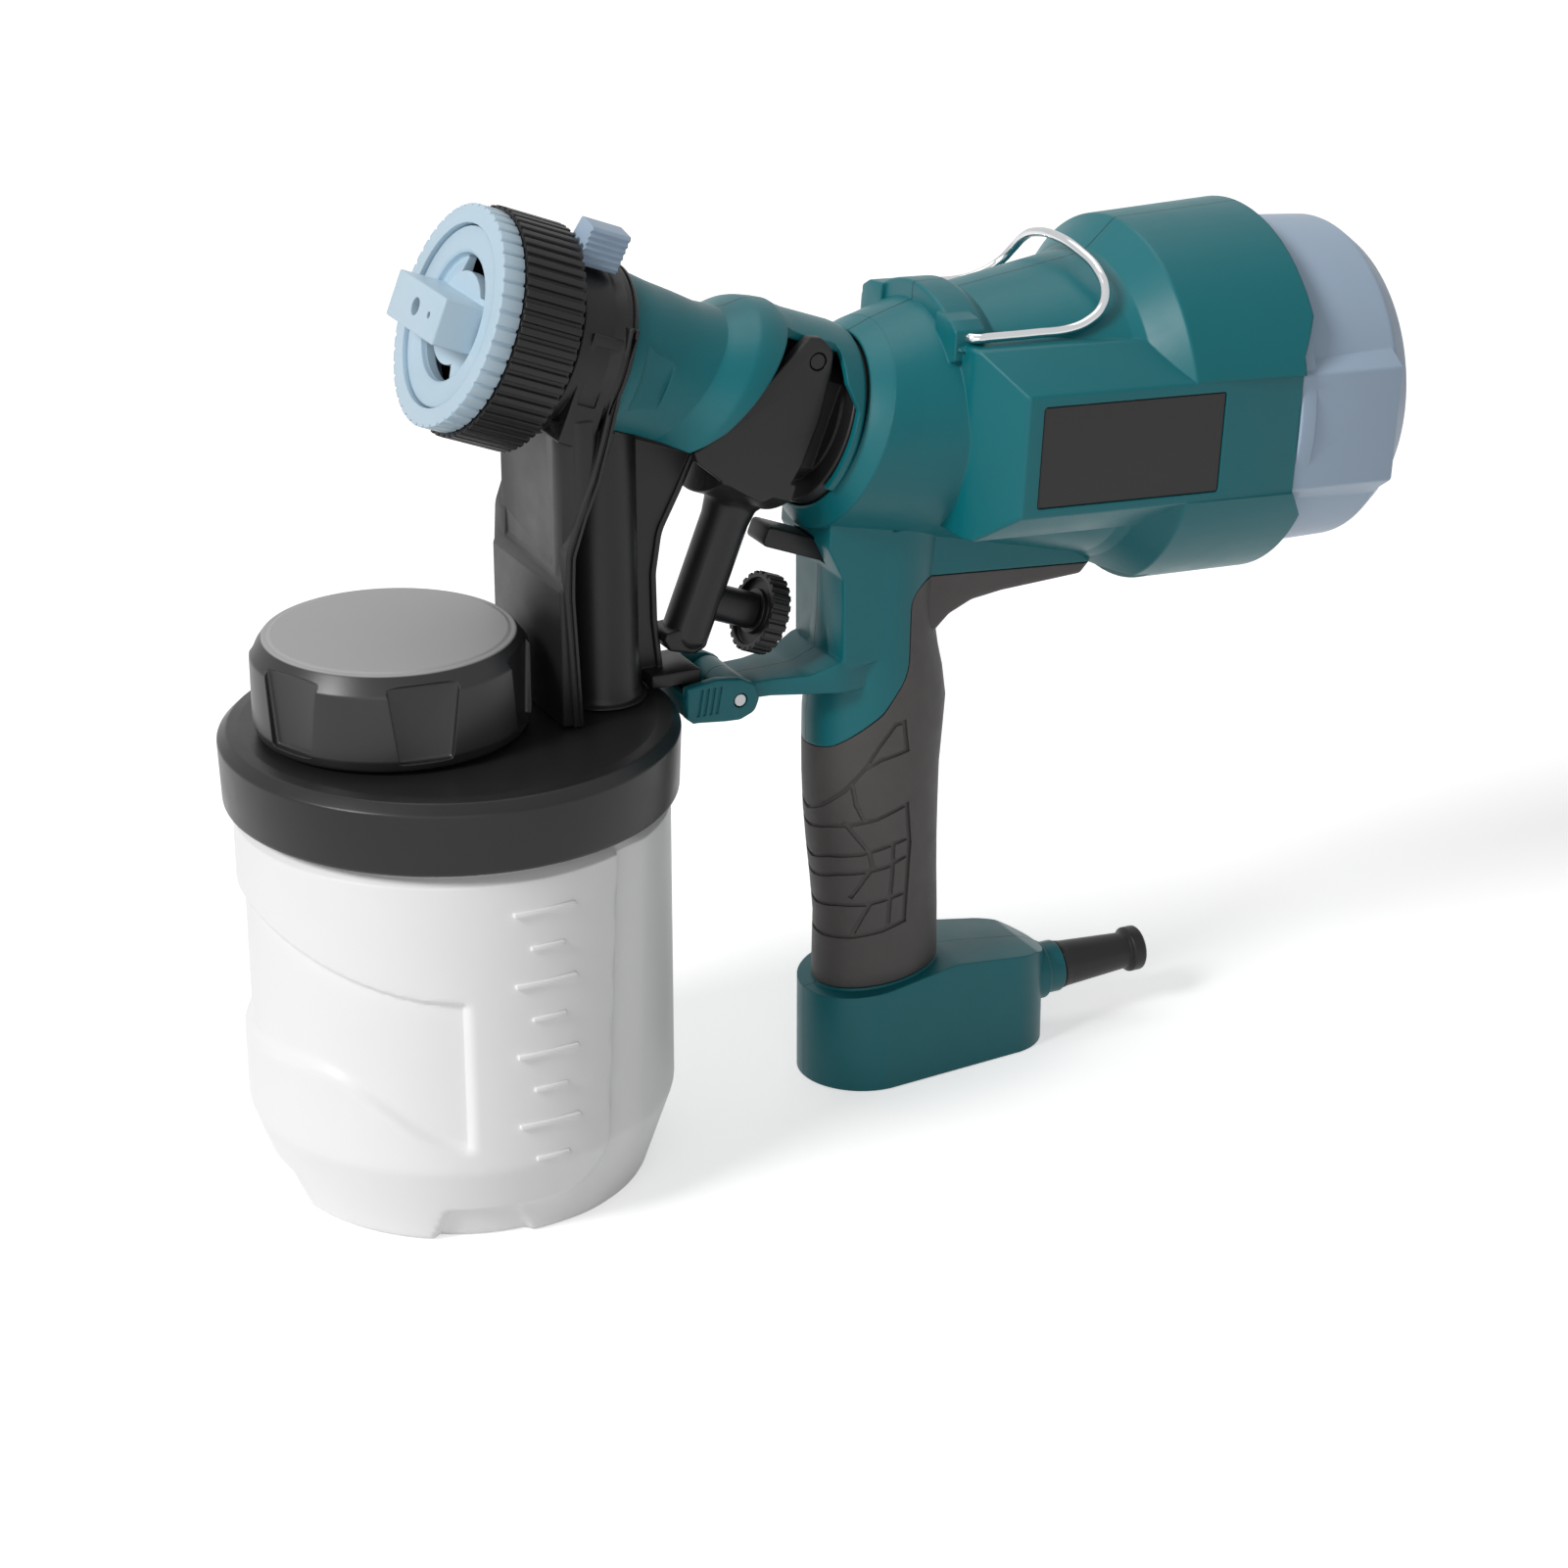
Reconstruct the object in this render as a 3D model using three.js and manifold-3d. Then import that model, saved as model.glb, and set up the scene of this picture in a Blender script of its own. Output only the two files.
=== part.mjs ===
// Handheld paint sprayer with a turbine motor unit, a trigger head and a suction cup.
// Millimetres, +Z up, +X to the rear (the nozzle points to -X), -Y is the gun's left side.
// The origin is the centre of the cup's foot on the surface that the sprayer stands on.
import * as THREE from 'three';
import { mergeVertices } from 'three/addons/utils/BufferGeometryUtils.js';
import Module from 'manifold-3d';

const wasm = await Module();
wasm.setup();

// ---- driving dimensions ----
const mouth = { x: 103.2, z: 178 };      // centre of the motor unit's mouth, where both axes cross
const barrelTilt = 21.5;                 // degrees that the barrel rises towards the nozzle
const motorTilt = 3.3;                   // degrees that the motor axis rises towards the mouth
const fit = 0.3;                         // gap kept between touching pieces
const halfGap = 0.1;                     // half of the parting line between the housing halves

const body = {
  mouthRadius: 26.9, noseRadius: 22.7, noseLength: 4.5, mouthBore: 22.1,
  shoulderRadius: 34, shoulderFrom: 20, shoulderTo: 29,
  waistRadius: 32, waistAt: 33, coneRadius: 38.2, coneAt: 66,
  bulgeFrom: 69, bulgeFull: 76.4, bulgeTo: 112, bulgeFront: 46.6, bulgeRadius: 47.6, bulgeRise: 1.7,
  wall: 2.6, sleeve: 2.2,
};
const belt = { halfWidth: 44, top: 15.6, bottom: -14.8, shelfTop: 24, shelfBottom: -23.5, from: 21.5, to: 105.5 };
const rearCover = {
  radius: 42.6, rearRadius: 41.6, faceRadius: 32, from: 112.4, roundFrom: 138.4, to: 147.6, lipFrom: 108.4,
  lip: 44.6, wall: 2.4, panelTo: 138,
};
const label = { from: 34, to: 85, top: 12.6, bottom: -12.4, thick: 1.2 };
const handle = { frontX: 99.5, halfWidth: 13.5, blockTop: 143, blockBottom: 117 };
const base = { frontX: 95.5, rearX: 165, frontRadius: 17, rearRadius: 13.8, height: 24.5 };
const arm = { top: 117, bottom: 112.6, halfWidth: 8.6, pivotX: 72, pivotZ: 114, knuckle: 5 };
const lid = { radius: 55.8, bottom: 100.2, top: 118.5, plate: 115, bore: 51.2 };
const cup = { radius: 53, neckRadius: 50.6, footRadius: 45.5, wall: 2, shoulder: 98.5, top: 112.6, taper: 22 };
const scaleMarks = { count: 8, first: 23.5, pitch: 9.2, long: 7.5, short: 4.5, shift: 1.7 };
const filler = { x: -14.5, bore: 24, neck: 27, neckTop: 132.4, capRadius: 33.2, faceRadius: 29.6, capTop: 143 };
const column = { x: 38, halfLength: 13.5, halfWidth: 16.5, foot: 118.9 };
const pivot = { u: -19.2, w: 15.1 };     // trigger pin in the barrel frame
const trigger = { cheekIn: 13, cheekOut: 16.4, saddleIn: 22.2, saddleOut: 25.2, barRadius: 6, bossW: -50.8 };
const bail = { u: 23, w: 25.8, hole: 19.4, wire: 1.2 };
const switchBar = { from: -10, to: 12, top: -28.4, bottom: -33.6, halfWidth: 5 };

// ---- materials ----
const shade = (color, roughness, metalness = 0) =>
  new THREE.MeshStandardMaterial({ color, roughness, metalness });
const teal = shade(0x11666c, 0.45);
const tealDark = shade(0x0d4f55, 0.5);
const rubber = shade(0x4a4848, 0.85);
const black = shade(0x1b1b1c, 0.45);
const plate = shade(0x2f2e2f, 0.6);
const blueGrey = shade(0xa9bccb, 0.4);
const nozzleGrey = shade(0xc2dbe6, 0.35);
const white = shade(0xf1f3f3, 0.35);
const steel = shade(0x9a9da0, 0.3, 1);
const chrome = shade(0xd9dcde, 0.12, 1);
const brass = shade(0xb08d4a, 0.35, 1);
const copper = shade(0xa2603a, 0.4, 1);
const seal = shade(0x2a2a2a, 0.8);
const foam = shade(0x3b3f42, 0.95);
const plastic = shade(0xdfe3e6, 0.4);

// ---- frames ----
const tiltedFrame = (tilt) =>
  new THREE.Matrix4().makeRotationY(THREE.MathUtils.degToRad(tilt)).setPosition(mouth.x, 0, mouth.z);
const barrelFrame = tiltedFrame(barrelTilt);
const motorFrame = tiltedFrame(motorTilt);
const worldFrame = new THREE.Matrix4();

// ---- solids from three.js geometry ----
function solid(geometry, frame = worldFrame) {
  let shape = geometry.clone().applyMatrix4(frame);
  shape.deleteAttribute('normal');
  if (shape.attributes.uv) shape.deleteAttribute('uv');
  shape = mergeVertices(shape, 1e-4);
  const index = Array.from(shape.index.array);
  const triangles = [];
  for (let i = 0; i < index.length; i += 3) {
    const [a, b, c] = index.slice(i, i + 3);
    if (a !== b && b !== c && c !== a) triangles.push(a, b, c);
  }
  return new wasm.Manifold(new wasm.Mesh({
    numProp: 3,
    vertProperties: new Float32Array(shape.attributes.position.array),
    triVerts: new Uint32Array(triangles),
  }));
}

const joined = (...parts) => parts.reduce((sum, part) => sum.add(part));
const cutBy = (shape, ...tools) => tools.reduce((rest, tool) => rest.subtract(tool), shape);

// Turned about the local X axis; profile is a list of [u, radius].
function turned(profile, segments) {
  const points = profile.map(([u, r]) => new THREE.Vector2(r, u));
  const open = profile[0][1] > 0 || profile[profile.length - 1][1] > 0;
  if (open) points.push(points[0].clone());
  return new THREE.LatheGeometry(points, segments).rotateZ(-Math.PI / 2);
}

// A rod or tube between two stations on the local X axis.
const rod = (u0, u1, radius, segments = 24) => turned([[u0, 0], [u0, radius], [u1, radius], [u1, 0]], segments);
const ring = (u0, u1, inner, outer, segments = 32) =>
  turned([[u0, inner], [u0, outer], [u1, outer], [u1, inner]], segments);
// The same, standing on the Z axis.
const upright = (geometry, x = 0, y = 0) => geometry.rotateY(-Math.PI / 2).translate(x, y, 0);
// And lying along Y.
const across = (geometry, x, z) => geometry.rotateZ(Math.PI / 2).translate(x, 0, z);

function outline(points) {
  return new THREE.Shape(points.map(([a, b]) => new THREE.Vector2(a, b)));
}

// Prism with its outline in XZ, from y0 to y1.
function prismY(points, y0, y1) {
  const shape = new THREE.ExtrudeGeometry(outline(points), { depth: y1 - y0, bevelEnabled: false });
  return shape.rotateX(Math.PI / 2).translate(0, y1, 0);
}

// Prism with its outline in XY, from z0 to z1.
function prismZ(points, z0, z1) {
  return new THREE.ExtrudeGeometry(outline(points), { depth: z1 - z0, bevelEnabled: false }).translate(0, 0, z0);
}

// Prism with its outline in YZ, from x0 to x1.
function prismX(points, x0, x1) {
  const shape = new THREE.ExtrudeGeometry(outline(points), { depth: x1 - x0, bevelEnabled: false });
  return shape.rotateX(Math.PI / 2).rotateZ(Math.PI / 2).translate(x0, 0, 0);
}

function block(x0, x1, y0, y1, z0, z1) {
  const shape = new THREE.BoxGeometry(x1 - x0, y1 - y0, z1 - z0);
  return shape.translate((x0 + x1) / 2, (y0 + y1) / 2, (z0 + z1) / 2);
}

// Skin through a row of loops with the same number of points, closed by a fan at each end.
function loft(loops) {
  const count = loops[0].length;
  const positions = loops.flat().flatMap((p) => [p.x, p.y, p.z]);
  const index = [];
  for (let i = 0; i < loops.length - 1; i += 1) {
    for (let j = 0; j < count; j += 1) {
      const a = i * count + j;
      const b = i * count + ((j + 1) % count);
      index.push(a, b, a + count, b, b + count, a + count);
    }
  }
  const last = (loops.length - 1) * count;
  for (let j = 1; j < count - 1; j += 1) {
    index.push(0, j + 1, j, last, last + j, last + j + 1);
  }
  const geometry = new THREE.BufferGeometry();
  geometry.setAttribute('position', new THREE.Float32BufferAttribute(positions, 3));
  geometry.setIndex(index);
  return geometry;
}

// Loop around Z: centre x, half-length a, half-width b, height z; power 2 is an ellipse.
function loopZ({ x, a, b, z, power = 2 }, count) {
  const points = [];
  for (let j = 0; j < count; j += 1) {
    const angle = (j / count) * 2 * Math.PI;
    const c = Math.cos(angle);
    const s = Math.sin(angle);
    const px = x + a * Math.sign(c) * Math.abs(c) ** (2 / power);
    const py = b * Math.sign(s) * Math.abs(s) ** (2 / power);
    points.push(new THREE.Vector3(px, py, z));
  }
  return points;
}

// Round loop at station u of the motor axis, leaning by lean degrees and raised off the axis by rise.
function loopMotor(u, radius, lean, rise, count) {
  const points = [];
  const slope = THREE.MathUtils.degToRad(lean);
  for (let j = 0; j < count; j += 1) {
    const angle = (j / count) * 2 * Math.PI;
    const y = radius * Math.cos(angle);
    const w = radius * Math.sin(angle);
    points.push(new THREE.Vector3(u + w * Math.sin(slope), y, rise + w * Math.cos(slope)));
  }
  return points;
}

// Outline with a round nose in front and a round tail behind, half-widths r0 and r1.
function stadium(x0, x1, r0, r1, inset, steps) {
  const points = [];
  for (let i = 0; i <= steps; i += 1) {
    const t = Math.PI / 2 + (i / steps) * Math.PI;
    points.push([x0 + r0 + (r0 - inset) * Math.cos(t), (r0 - inset) * Math.sin(t)]);
  }
  for (let i = 0; i <= steps; i += 1) {
    const t = -Math.PI / 2 + (i / steps) * Math.PI;
    points.push([x1 - r1 + (r1 - inset) * Math.cos(t), (r1 - inset) * Math.sin(t)]);
  }
  return points;
}

// Regular outline around the origin.
function circle(radius, sides) {
  const points = [];
  for (let i = 0; i < sides; i += 1) {
    const t = (i / sides) * 2 * Math.PI;
    points.push([radius * Math.cos(t), radius * Math.sin(t)]);
  }
  return points;
}

// Toothed outline around the origin for a grip ring.
function fluted(radius, depth, teeth) {
  const points = [];
  for (let i = 0; i < teeth; i += 1) {
    for (const [part, r] of [[0, radius], [0.55, radius], [0.65, radius - depth], [0.9, radius - depth]]) {
      const t = ((i + part) / teeth) * 2 * Math.PI;
      points.push([r * Math.cos(t), r * Math.sin(t)]);
    }
  }
  return points;
}

// ---- scene graph ----
const sprayer = new THREE.Group();
const barrelGroup = new THREE.Group();
barrelGroup.position.set(mouth.x, 0, mouth.z);
barrelGroup.rotation.y = THREE.MathUtils.degToRad(barrelTilt);
const motorGroup = new THREE.Group();
motorGroup.position.set(mouth.x, 0, mouth.z);
motorGroup.rotation.y = THREE.MathUtils.degToRad(motorTilt);
sprayer.add(barrelGroup, motorGroup);

function addPart(name, shape, material, group = sprayer) {
  const mesh = shape.getMesh();
  const geometry = new THREE.BufferGeometry();
  geometry.setAttribute('position', new THREE.Float32BufferAttribute(mesh.vertProperties, 3));
  geometry.setIndex(Array.from(mesh.triVerts));
  geometry.computeVertexNormals();
  const part = new THREE.Mesh(geometry, material);
  part.name = name;
  group.add(part);
}

// ---- motor unit: outer form, drawn once at the surface and again at each inset ----
function motorBodyForm(inset) {
  const count = 28;
  const stations = [
    [0, body.mouthRadius, barrelTilt - motorTilt, 0],
    [9, 27.9, 10, 0],
    [20, 29.6, 2, 0],
    [body.waistAt, body.waistRadius, 0, 0],
    [body.coneAt, body.coneRadius, 0, 0],
    [body.bulgeFrom, body.coneRadius + 1.4, 0, 0],
    [body.bulgeFull, body.bulgeFront, 0, 0.3],
    [body.bulgeTo, body.bulgeRadius, 0, body.bulgeRise],
  ];
  const loops = stations.map(([u, r, lean, rise]) => loopMotor(u, r - inset, lean, rise, count));
  return solid(loft(loops), motorFrame);
}

// Right-hand half of the belt's section, as [y, w].
function beltSection(inset) {
  const w = belt.halfWidth - inset;
  return [[18, belt.shelfTop - inset], [31, belt.shelfTop - inset], [w, belt.top - inset],
    [w, belt.bottom + inset], [32, belt.shelfBottom + inset], [18, belt.shelfBottom + inset]];
}

function beltForm(inset) {
  const side = beltSection(inset);
  const plan = [[belt.from + inset, 10], [belt.from + inset, 29], [30 + inset, belt.halfWidth + 1],
    [belt.to, belt.halfWidth + 1], [belt.to, 10]];
  const mirrorY = (points) => points.map(([a, b]) => [a, -b]).reverse();
  const left = solid(prismX(side.map(([y, z]) => [-y, z]).reverse(), 10, belt.to), motorFrame)
    .intersect(solid(prismZ(mirrorY(plan), -30, 30), motorFrame));
  const right = solid(prismX(side, 10, belt.to), motorFrame)
    .intersect(solid(prismZ(plan, -30, 30), motorFrame));
  return left.add(right);
}

// The belt's outline carried all the way round, drawn in a little at the rear end.
function beltRing(u0, u1) {
  const half = beltSection(0.5).slice(1, 5);
  const section = half.concat(half.map(([y, w]) => [-y, w]).reverse());
  const loopAt = (u, scale) => section.map(([y, w]) => new THREE.Vector3(u, y * scale, w * scale)).reverse();
  return loft([loopAt(u0, 1), loopAt(u1 - 4, 1), loopAt(u1, 0.93)]);
}

function handleForm(inset) {
  const sections = [
    { z: 20, x: 116, a: 17.2, b: 14 },
    { z: 45, x: 116.2, a: 16.8, b: 13.8 },
    { z: 65, x: 115, a: 17.6, b: 14.2 },
    { z: 85, x: 114.5, a: 18.4, b: 14.6 },
    { z: 103, x: 115.3, a: 19.2, b: 14.6 },
    { z: 117, x: 115, a: 17, b: 14.2 },
    { z: 130, x: 114.5, a: 15.4, b: 13.8 },
    { z: 152, x: 116, a: 16.5, b: 13.8 },
  ];
  const loops = sections.map((s) =>
    loopZ({ x: s.x, a: s.a - inset, b: s.b - inset, z: s.z, power: 2.3 }, 20));
  const frontBlock = [[handle.frontX + inset, handle.blockBottom + 2 + inset], [handle.frontX + inset, 141.5],
    [95.4 + inset, 150], [96 + inset, 158], [128, 158], [128, 120 + inset], [102 + inset, handle.blockBottom + inset]];
  const w = handle.halfWidth - inset;
  const keel = [[118, 152], [118, 116], [128 - inset, 122 + inset], [132 - inset, 125.7 + inset],
    [138.4 - inset, 128.5 + inset], [147, 129.6 + inset], [170 - inset, 130.6 + inset], [175 - inset, 136],
    [175 - inset, 152]];
  const k = 9.6 - inset;
  return joined(solid(loft(loops)), solid(prismY(frontBlock, -w, w)), solid(prismY(keel, -k, k)));
}

function baseForm(inset) {
  const prism = solid(prismZ(stadium(base.frontX, base.rearX, base.frontRadius, base.rearRadius, inset, 7),
    inset > 0 ? inset : 0, 34));
  const profile = [[88, -1], [88, 23.5], [95, base.height + 1.2], [133, 30.6], [159, 27.2], [166, 24], [170, -1]]
    .map(([x, z]) => [x, z > 0 ? z - inset : z]);
  return prism.intersect(solid(prismY(profile, -30, 30)));
}

function outerForm(inset) {
  return joined(motorBodyForm(inset), beltForm(inset), handleForm(inset), baseForm(inset));
}

// The rubber runs round the grip, up the rear of the handle and along the keel under the motor.
function sleeveRegion(grow) {
  const g = grow;
  const region = [[82, 25.2 - g], [96, 26.8 - g], [134, 31.6 - g], [150, 31.6 - g], [150, 118],
    [182, 118], [182, 132.8 + g], [124, 137.2 + g], [119 - g, 134], [118 - g, 114], [111 - g, 104 + g],
    [99, 95 + g], [82, 91 + g]];
  return solid(prismY(region, -30, 30));
}

const screwSpots = [
  { x: 152, z: 12.5, y: 13.2 },
  { x: 106.5, z: 109.5, y: 12.6 },
  { x: 109, z: 127.6, y: 12.8 },
  { x: 205, z: 131.6, y: 20 },
];

function buildHousing() {
  const surface = outerForm(0);
  const shoulder = solid(turned([[body.shoulderFrom, 20], [body.shoulderFrom, body.shoulderRadius],
    [body.shoulderTo, body.shoulderRadius], [body.waistAt, body.waistRadius - 0.5], [body.waistAt, 20]], 32),
  motorFrame).intersect(solid(block(10, 40, -40, 40, 22.6, 40), motorFrame));
  const nose = solid(turned([[-body.noseLength, 0], [-body.noseLength, body.noseRadius],
    [0, body.mouthRadius], [8, body.mouthRadius - 1.5], [8, 0]], 28), barrelFrame);
  const lugOutline = [[14, 18], [20, 18], [24.4, 20], [24.4, 27.4], [21, 29.4], [14, 30.2]];
  const bailLug = (side) => solid(prismX(side > 0 ? lugOutline
    : lugOutline.map(([y, w]) => [-y, w]).reverse(), 19, 27.4), motorFrame);
  const armPlate = solid(prismY([[arm.pivotX, arm.bottom], [arm.pivotX, arm.top - 0.6],
    [96, arm.top], [104, arm.top + 4], [104, arm.bottom - 6], [96, arm.bottom - 1]], -arm.halfWidth, arm.halfWidth));
  const knuckle = solid(across(rod(-arm.halfWidth, arm.halfWidth, arm.knuckle, 20), arm.pivotX, arm.pivotZ));
  const cordCollar = solid(rod(158, 171, 8, 20).translate(0, 0, 16));
  let shell = cutBy(surface, sleeveRegion(fit).subtract(handleForm(body.sleeve)));
  shell = joined(shell, shoulder, nose, bailLug(1), bailLug(-1), armPlate, knuckle, cordCollar);

  const bodyHollow = solid(turned([[6, 0], [6, 25], [body.waistAt, body.waistRadius - body.wall],
    [body.coneAt, body.coneRadius - body.wall], [78, body.bulgeFront - 4], [113, body.bulgeFront - 4], [113, 0]],
  24), motorFrame);
  const rearMouth = solid(rod(107.4, 130, rearCover.lip + fit, 32).translate(0, 0, body.bulgeRise), motorFrame);
  const handleHollow = solid(prismY([[103.5, 24], [102, 60], [101.5, 90], [104.5, 104], [104.5, 139], [100, 150],
    [104, 168], [124, 168], [124, 24]], -9, 9));
  const baseHollow = solid(prismZ(stadium(base.frontX, base.rearX, base.frontRadius, base.rearRadius, 3, 4),
    3, base.height - 2));
  const bore = solid(rod(-8, 24, body.mouthBore, 28), barrelFrame);
  const switchSlot = solid(block(-14, 14, -switchBar.halfWidth - fit, switchBar.halfWidth + fit,
    switchBar.bottom - fit, switchBar.top + fit), barrelFrame);
  const cordBore = solid(rod(150, 176, 5.2, 16).translate(0, 0, 16));
  const capRecess = solid(prismY([[belt.to, -15], [113.5, -24], [130, -24], [130, 32], [113.5, 32],
    [belt.to, 20]], 30, 60), motorFrame)
    .add(solid(prismY([[belt.to, -15], [113.5, -24], [130, -24], [130, 32], [113.5, 32],
      [belt.to, 20]], -60, -30), motorFrame));
  const bailHole = solid(across(rod(-40, 40, 1.6, 12), bail.u, bail.w), motorFrame)
    .subtract(solid(block(0, 50, -bail.hole, bail.hole, 0, 60), motorFrame));
  const latchHole = solid(across(rod(-20, 20, 1.9, 16), arm.pivotX, arm.pivotZ));
  const plateSeat = solid(block(label.from - fit, label.to + fit, -60, -belt.halfWidth + label.thick - 0.2,
    label.bottom - fit, label.top + fit), motorFrame)
    .add(solid(block(label.from - fit, label.to + fit, belt.halfWidth - label.thick + 0.2, 60,
      label.bottom - fit, label.top + fit), motorFrame));
  shell = cutBy(shell, bodyHollow, rearMouth, handleHollow, baseHollow, bore, switchSlot, cordBore,
    capRecess, bailHole, latchHole, plateSeat);

  for (const spot of screwSpots) {
    const boss = solid(across(rod(-spot.y, spot.y, 4, 10), spot.x, spot.z)).intersect(surface);
    const shank = solid(across(rod(-8, 40, 1.9, 10), spot.x, spot.z));
    const head = solid(across(rod(spot.y - 3.4, 40, 3.3, 10), spot.x, spot.z));
    shell = shell.add(boss).subtract(shank).subtract(head);
  }
  const leftSpace = solid(block(60, 240, -60, -halfGap, -1, 240));
  const rightSpace = solid(block(60, 240, halfGap, 60, -1, 240));
  addPart('housing_left', shell.intersect(leftSpace), teal);
  addPart('housing_right', shell.intersect(rightSpace), teal);

  screwSpots.forEach((spot, i) => {
    const shank = solid(across(rod(-6.5, spot.y - 3, 1.55, 10), spot.x, spot.z));
    const head = solid(across(rod(spot.y - 3, spot.y - 0.8, 2.9, 10), spot.x, spot.z));
    addPart(`housing_screw_${i + 1}`, shank.add(head), steel);
  });

  const sleeve = handleForm(0).intersect(sleeveRegion(0)).subtract(handleForm(body.sleeve - fit));
  addPart('grip_sleeve', sleeve, rubber);
}

function buildLabels() {
  const deep = belt.halfWidth - label.thick + 0.5;
  const face = belt.halfWidth - 0.2;
  addPart('label_plate_left', solid(block(label.from, label.to, -face, -deep, label.bottom, label.top)),
    plate, motorGroup);
  addPart('label_plate_right', solid(block(label.from, label.to, deep, face, label.bottom, label.top)),
    plate, motorGroup);
}

// ---- motor, fan and rear cover, about the motor axis ----
function buildMotor() {
  const stator = solid(ring(37, 62, 16, 26.4, 24));
  addPart('motor_stator', stator, copper, motorGroup);
  const ventHoles = (radius, u0, u1, size) => [45, 135, 225, 315].map((angle) => {
    const t = THREE.MathUtils.degToRad(angle);
    return solid(rod(u0, u1, size, 8).translate(0, radius * Math.cos(t), radius * Math.sin(t)));
  });
  const front = solid(turned([[24, 8.3], [24, 11], [31, 11], [31, 26.6], [34, 26.6], [34, 8.3]], 20));
  addPart('motor_bracket_front', cutBy(front, ...ventHoles(18.5, 28, 38, 4.6)), blueGrey, motorGroup);
  const rear = solid(turned([[74, 8.3], [74, 34], [77, 34], [77, 11], [82, 11], [82, 8.3]], 20));
  addPart('motor_bracket_rear', cutBy(rear, ...ventHoles(24, 70, 84, 6)), blueGrey, motorGroup);
  addPart('bearing_front', solid(ring(24.4, 29.6, 3.4, 8, 16)), steel, motorGroup);
  addPart('bearing_rear', solid(ring(76.2, 81.2, 3.4, 8, 16)), steel, motorGroup);
  addPart('brush_left', solid(block(65.5, 71, -16, -9.4, -3, 3)), plate, motorGroup);
  addPart('brush_right', solid(block(65.5, 71, 9.4, 16, -3, 3)), plate, motorGroup);
  addPart('fan_shroud', solid(ring(97.6, 99.4, 19, body.bulgeFront - 4.4, 28)), plastic, motorGroup);

  addPart('rotor_shaft', solid(rod(21, 97.4, 3, 16)), steel, motorGroup);
  addPart('rotor_core', solid(ring(38, 61, 3.3, 15.2, 20)), copper, motorGroup);
  addPart('commutator', solid(ring(64, 72, 3.3, 9, 20)), brass, motorGroup);
  const disc = solid(turned([[85, 3.3], [85, 38], [86.6, 38], [86.6, 9], [97, 9], [97, 3.3]], 28));
  let impeller = disc;
  for (let i = 0; i < 7; i += 1) {
    const vane = block(86, 95, 7, 37, -0.8, 0.8).rotateX((i / 7) * 2 * Math.PI);
    impeller = impeller.add(solid(vane));
  }
  addPart('fan_impeller', impeller, plastic, motorGroup);
}

function buildRearCover() {
  const { radius, rearRadius, faceRadius, from, roundFrom, to, lipFrom, lip, wall, panelTo } = rearCover;
  const centred = (geometry) => solid(geometry.translate(0, 0, body.bulgeRise));
  let cover = centred(turned([[lipFrom, lip - 2.2], [lipFrom, lip], [from - 0.2, lip], [from - 0.2, radius],
    [roundFrom, rearRadius], [roundFrom + 5.4, 37.8], [to, faceRadius], [to, 0], [to - wall, 0],
    [to - wall, faceRadius - 1.6], [roundFrom + 4, 35.6], [roundFrom - 1, rearRadius - wall],
    [from, radius - wall]], 32));
  const bore = centred(rod(100, 150, lip - 2.2, 32)).subtract(centred(rod(lipFrom + 4, 150, radius, 32)));
  const core = centred(rod(lipFrom + 3.9, 160, radius - wall, 32));
  const behind = centred(rod(100, lipFrom, lip + fit, 32));
  const notch = [[belt.to + fit, -14.4], [113.7, -23.4], [panelTo, -23.4], [panelTo, 31], [113.7, 31],
    [belt.to + fit, 19.6]];
  const belly = centred(rod(100, panelTo, lip + 1.4, 32)).subtract(centred(rod(from, 150, 60, 12)));
  const outer = belly.add(solid(beltRing(100, panelTo)));
  for (const side of [-1, 1]) {
    const window = solid(prismY(notch, side > 0 ? 30 : -50, side > 0 ? 50 : -30));
    cover = cover.add(window.intersect(outer).subtract(bore).subtract(core).subtract(behind));
  }
  for (let i = -4; i <= 4; i += 1) {
    const reach = Math.sqrt(29 ** 2 - (i * 6.4) ** 2);
    const slot = block(to - 4, to + 1, -reach, reach, i * 6.4 - 1.5, i * 6.4 + 1.5);
    cover = cover.subtract(centred(slot));
  }
  addPart('rear_cover', cover, blueGrey, motorGroup);
  addPart('air_filter', centred(rod(131, 137, rearRadius - wall - 0.6, 32)), foam, motorGroup);
}

// ---- wire bail: two pivots at the front of the belt, legs along the sides, bow over the top ----
function buildBail() {
  const half = [[bail.u, 20, bail.w], [bail.u, 24.4, bail.w], [23.8, 25.9, 25.8], [27, 26.1, 25.9], [40, 26.1, 26.1],
    [50, 26.1, 26.6], [55, 25.9, 28.2], [59, 25, 30.9], [61, 23, 34.4], [61.3, 18.5, 38.4], [60.5, 11, 41.4],
    [60, 0, 42.8]];
  const points = half.map(([u, y, w]) => new THREE.Vector3(u, y, w))
    .concat(half.slice(0, -1).reverse().map(([u, y, w]) => new THREE.Vector3(u, -y, w)));
  const path = new THREE.CatmullRomCurve3(points, false, 'catmullrom', 0.35);
  const wire = new THREE.ExtrudeGeometry(outline(circle(bail.wire, 8)), { steps: 40, extrudePath: path });
  addPart('wire_bail', solid(wire), chrome, motorGroup);
}

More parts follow.
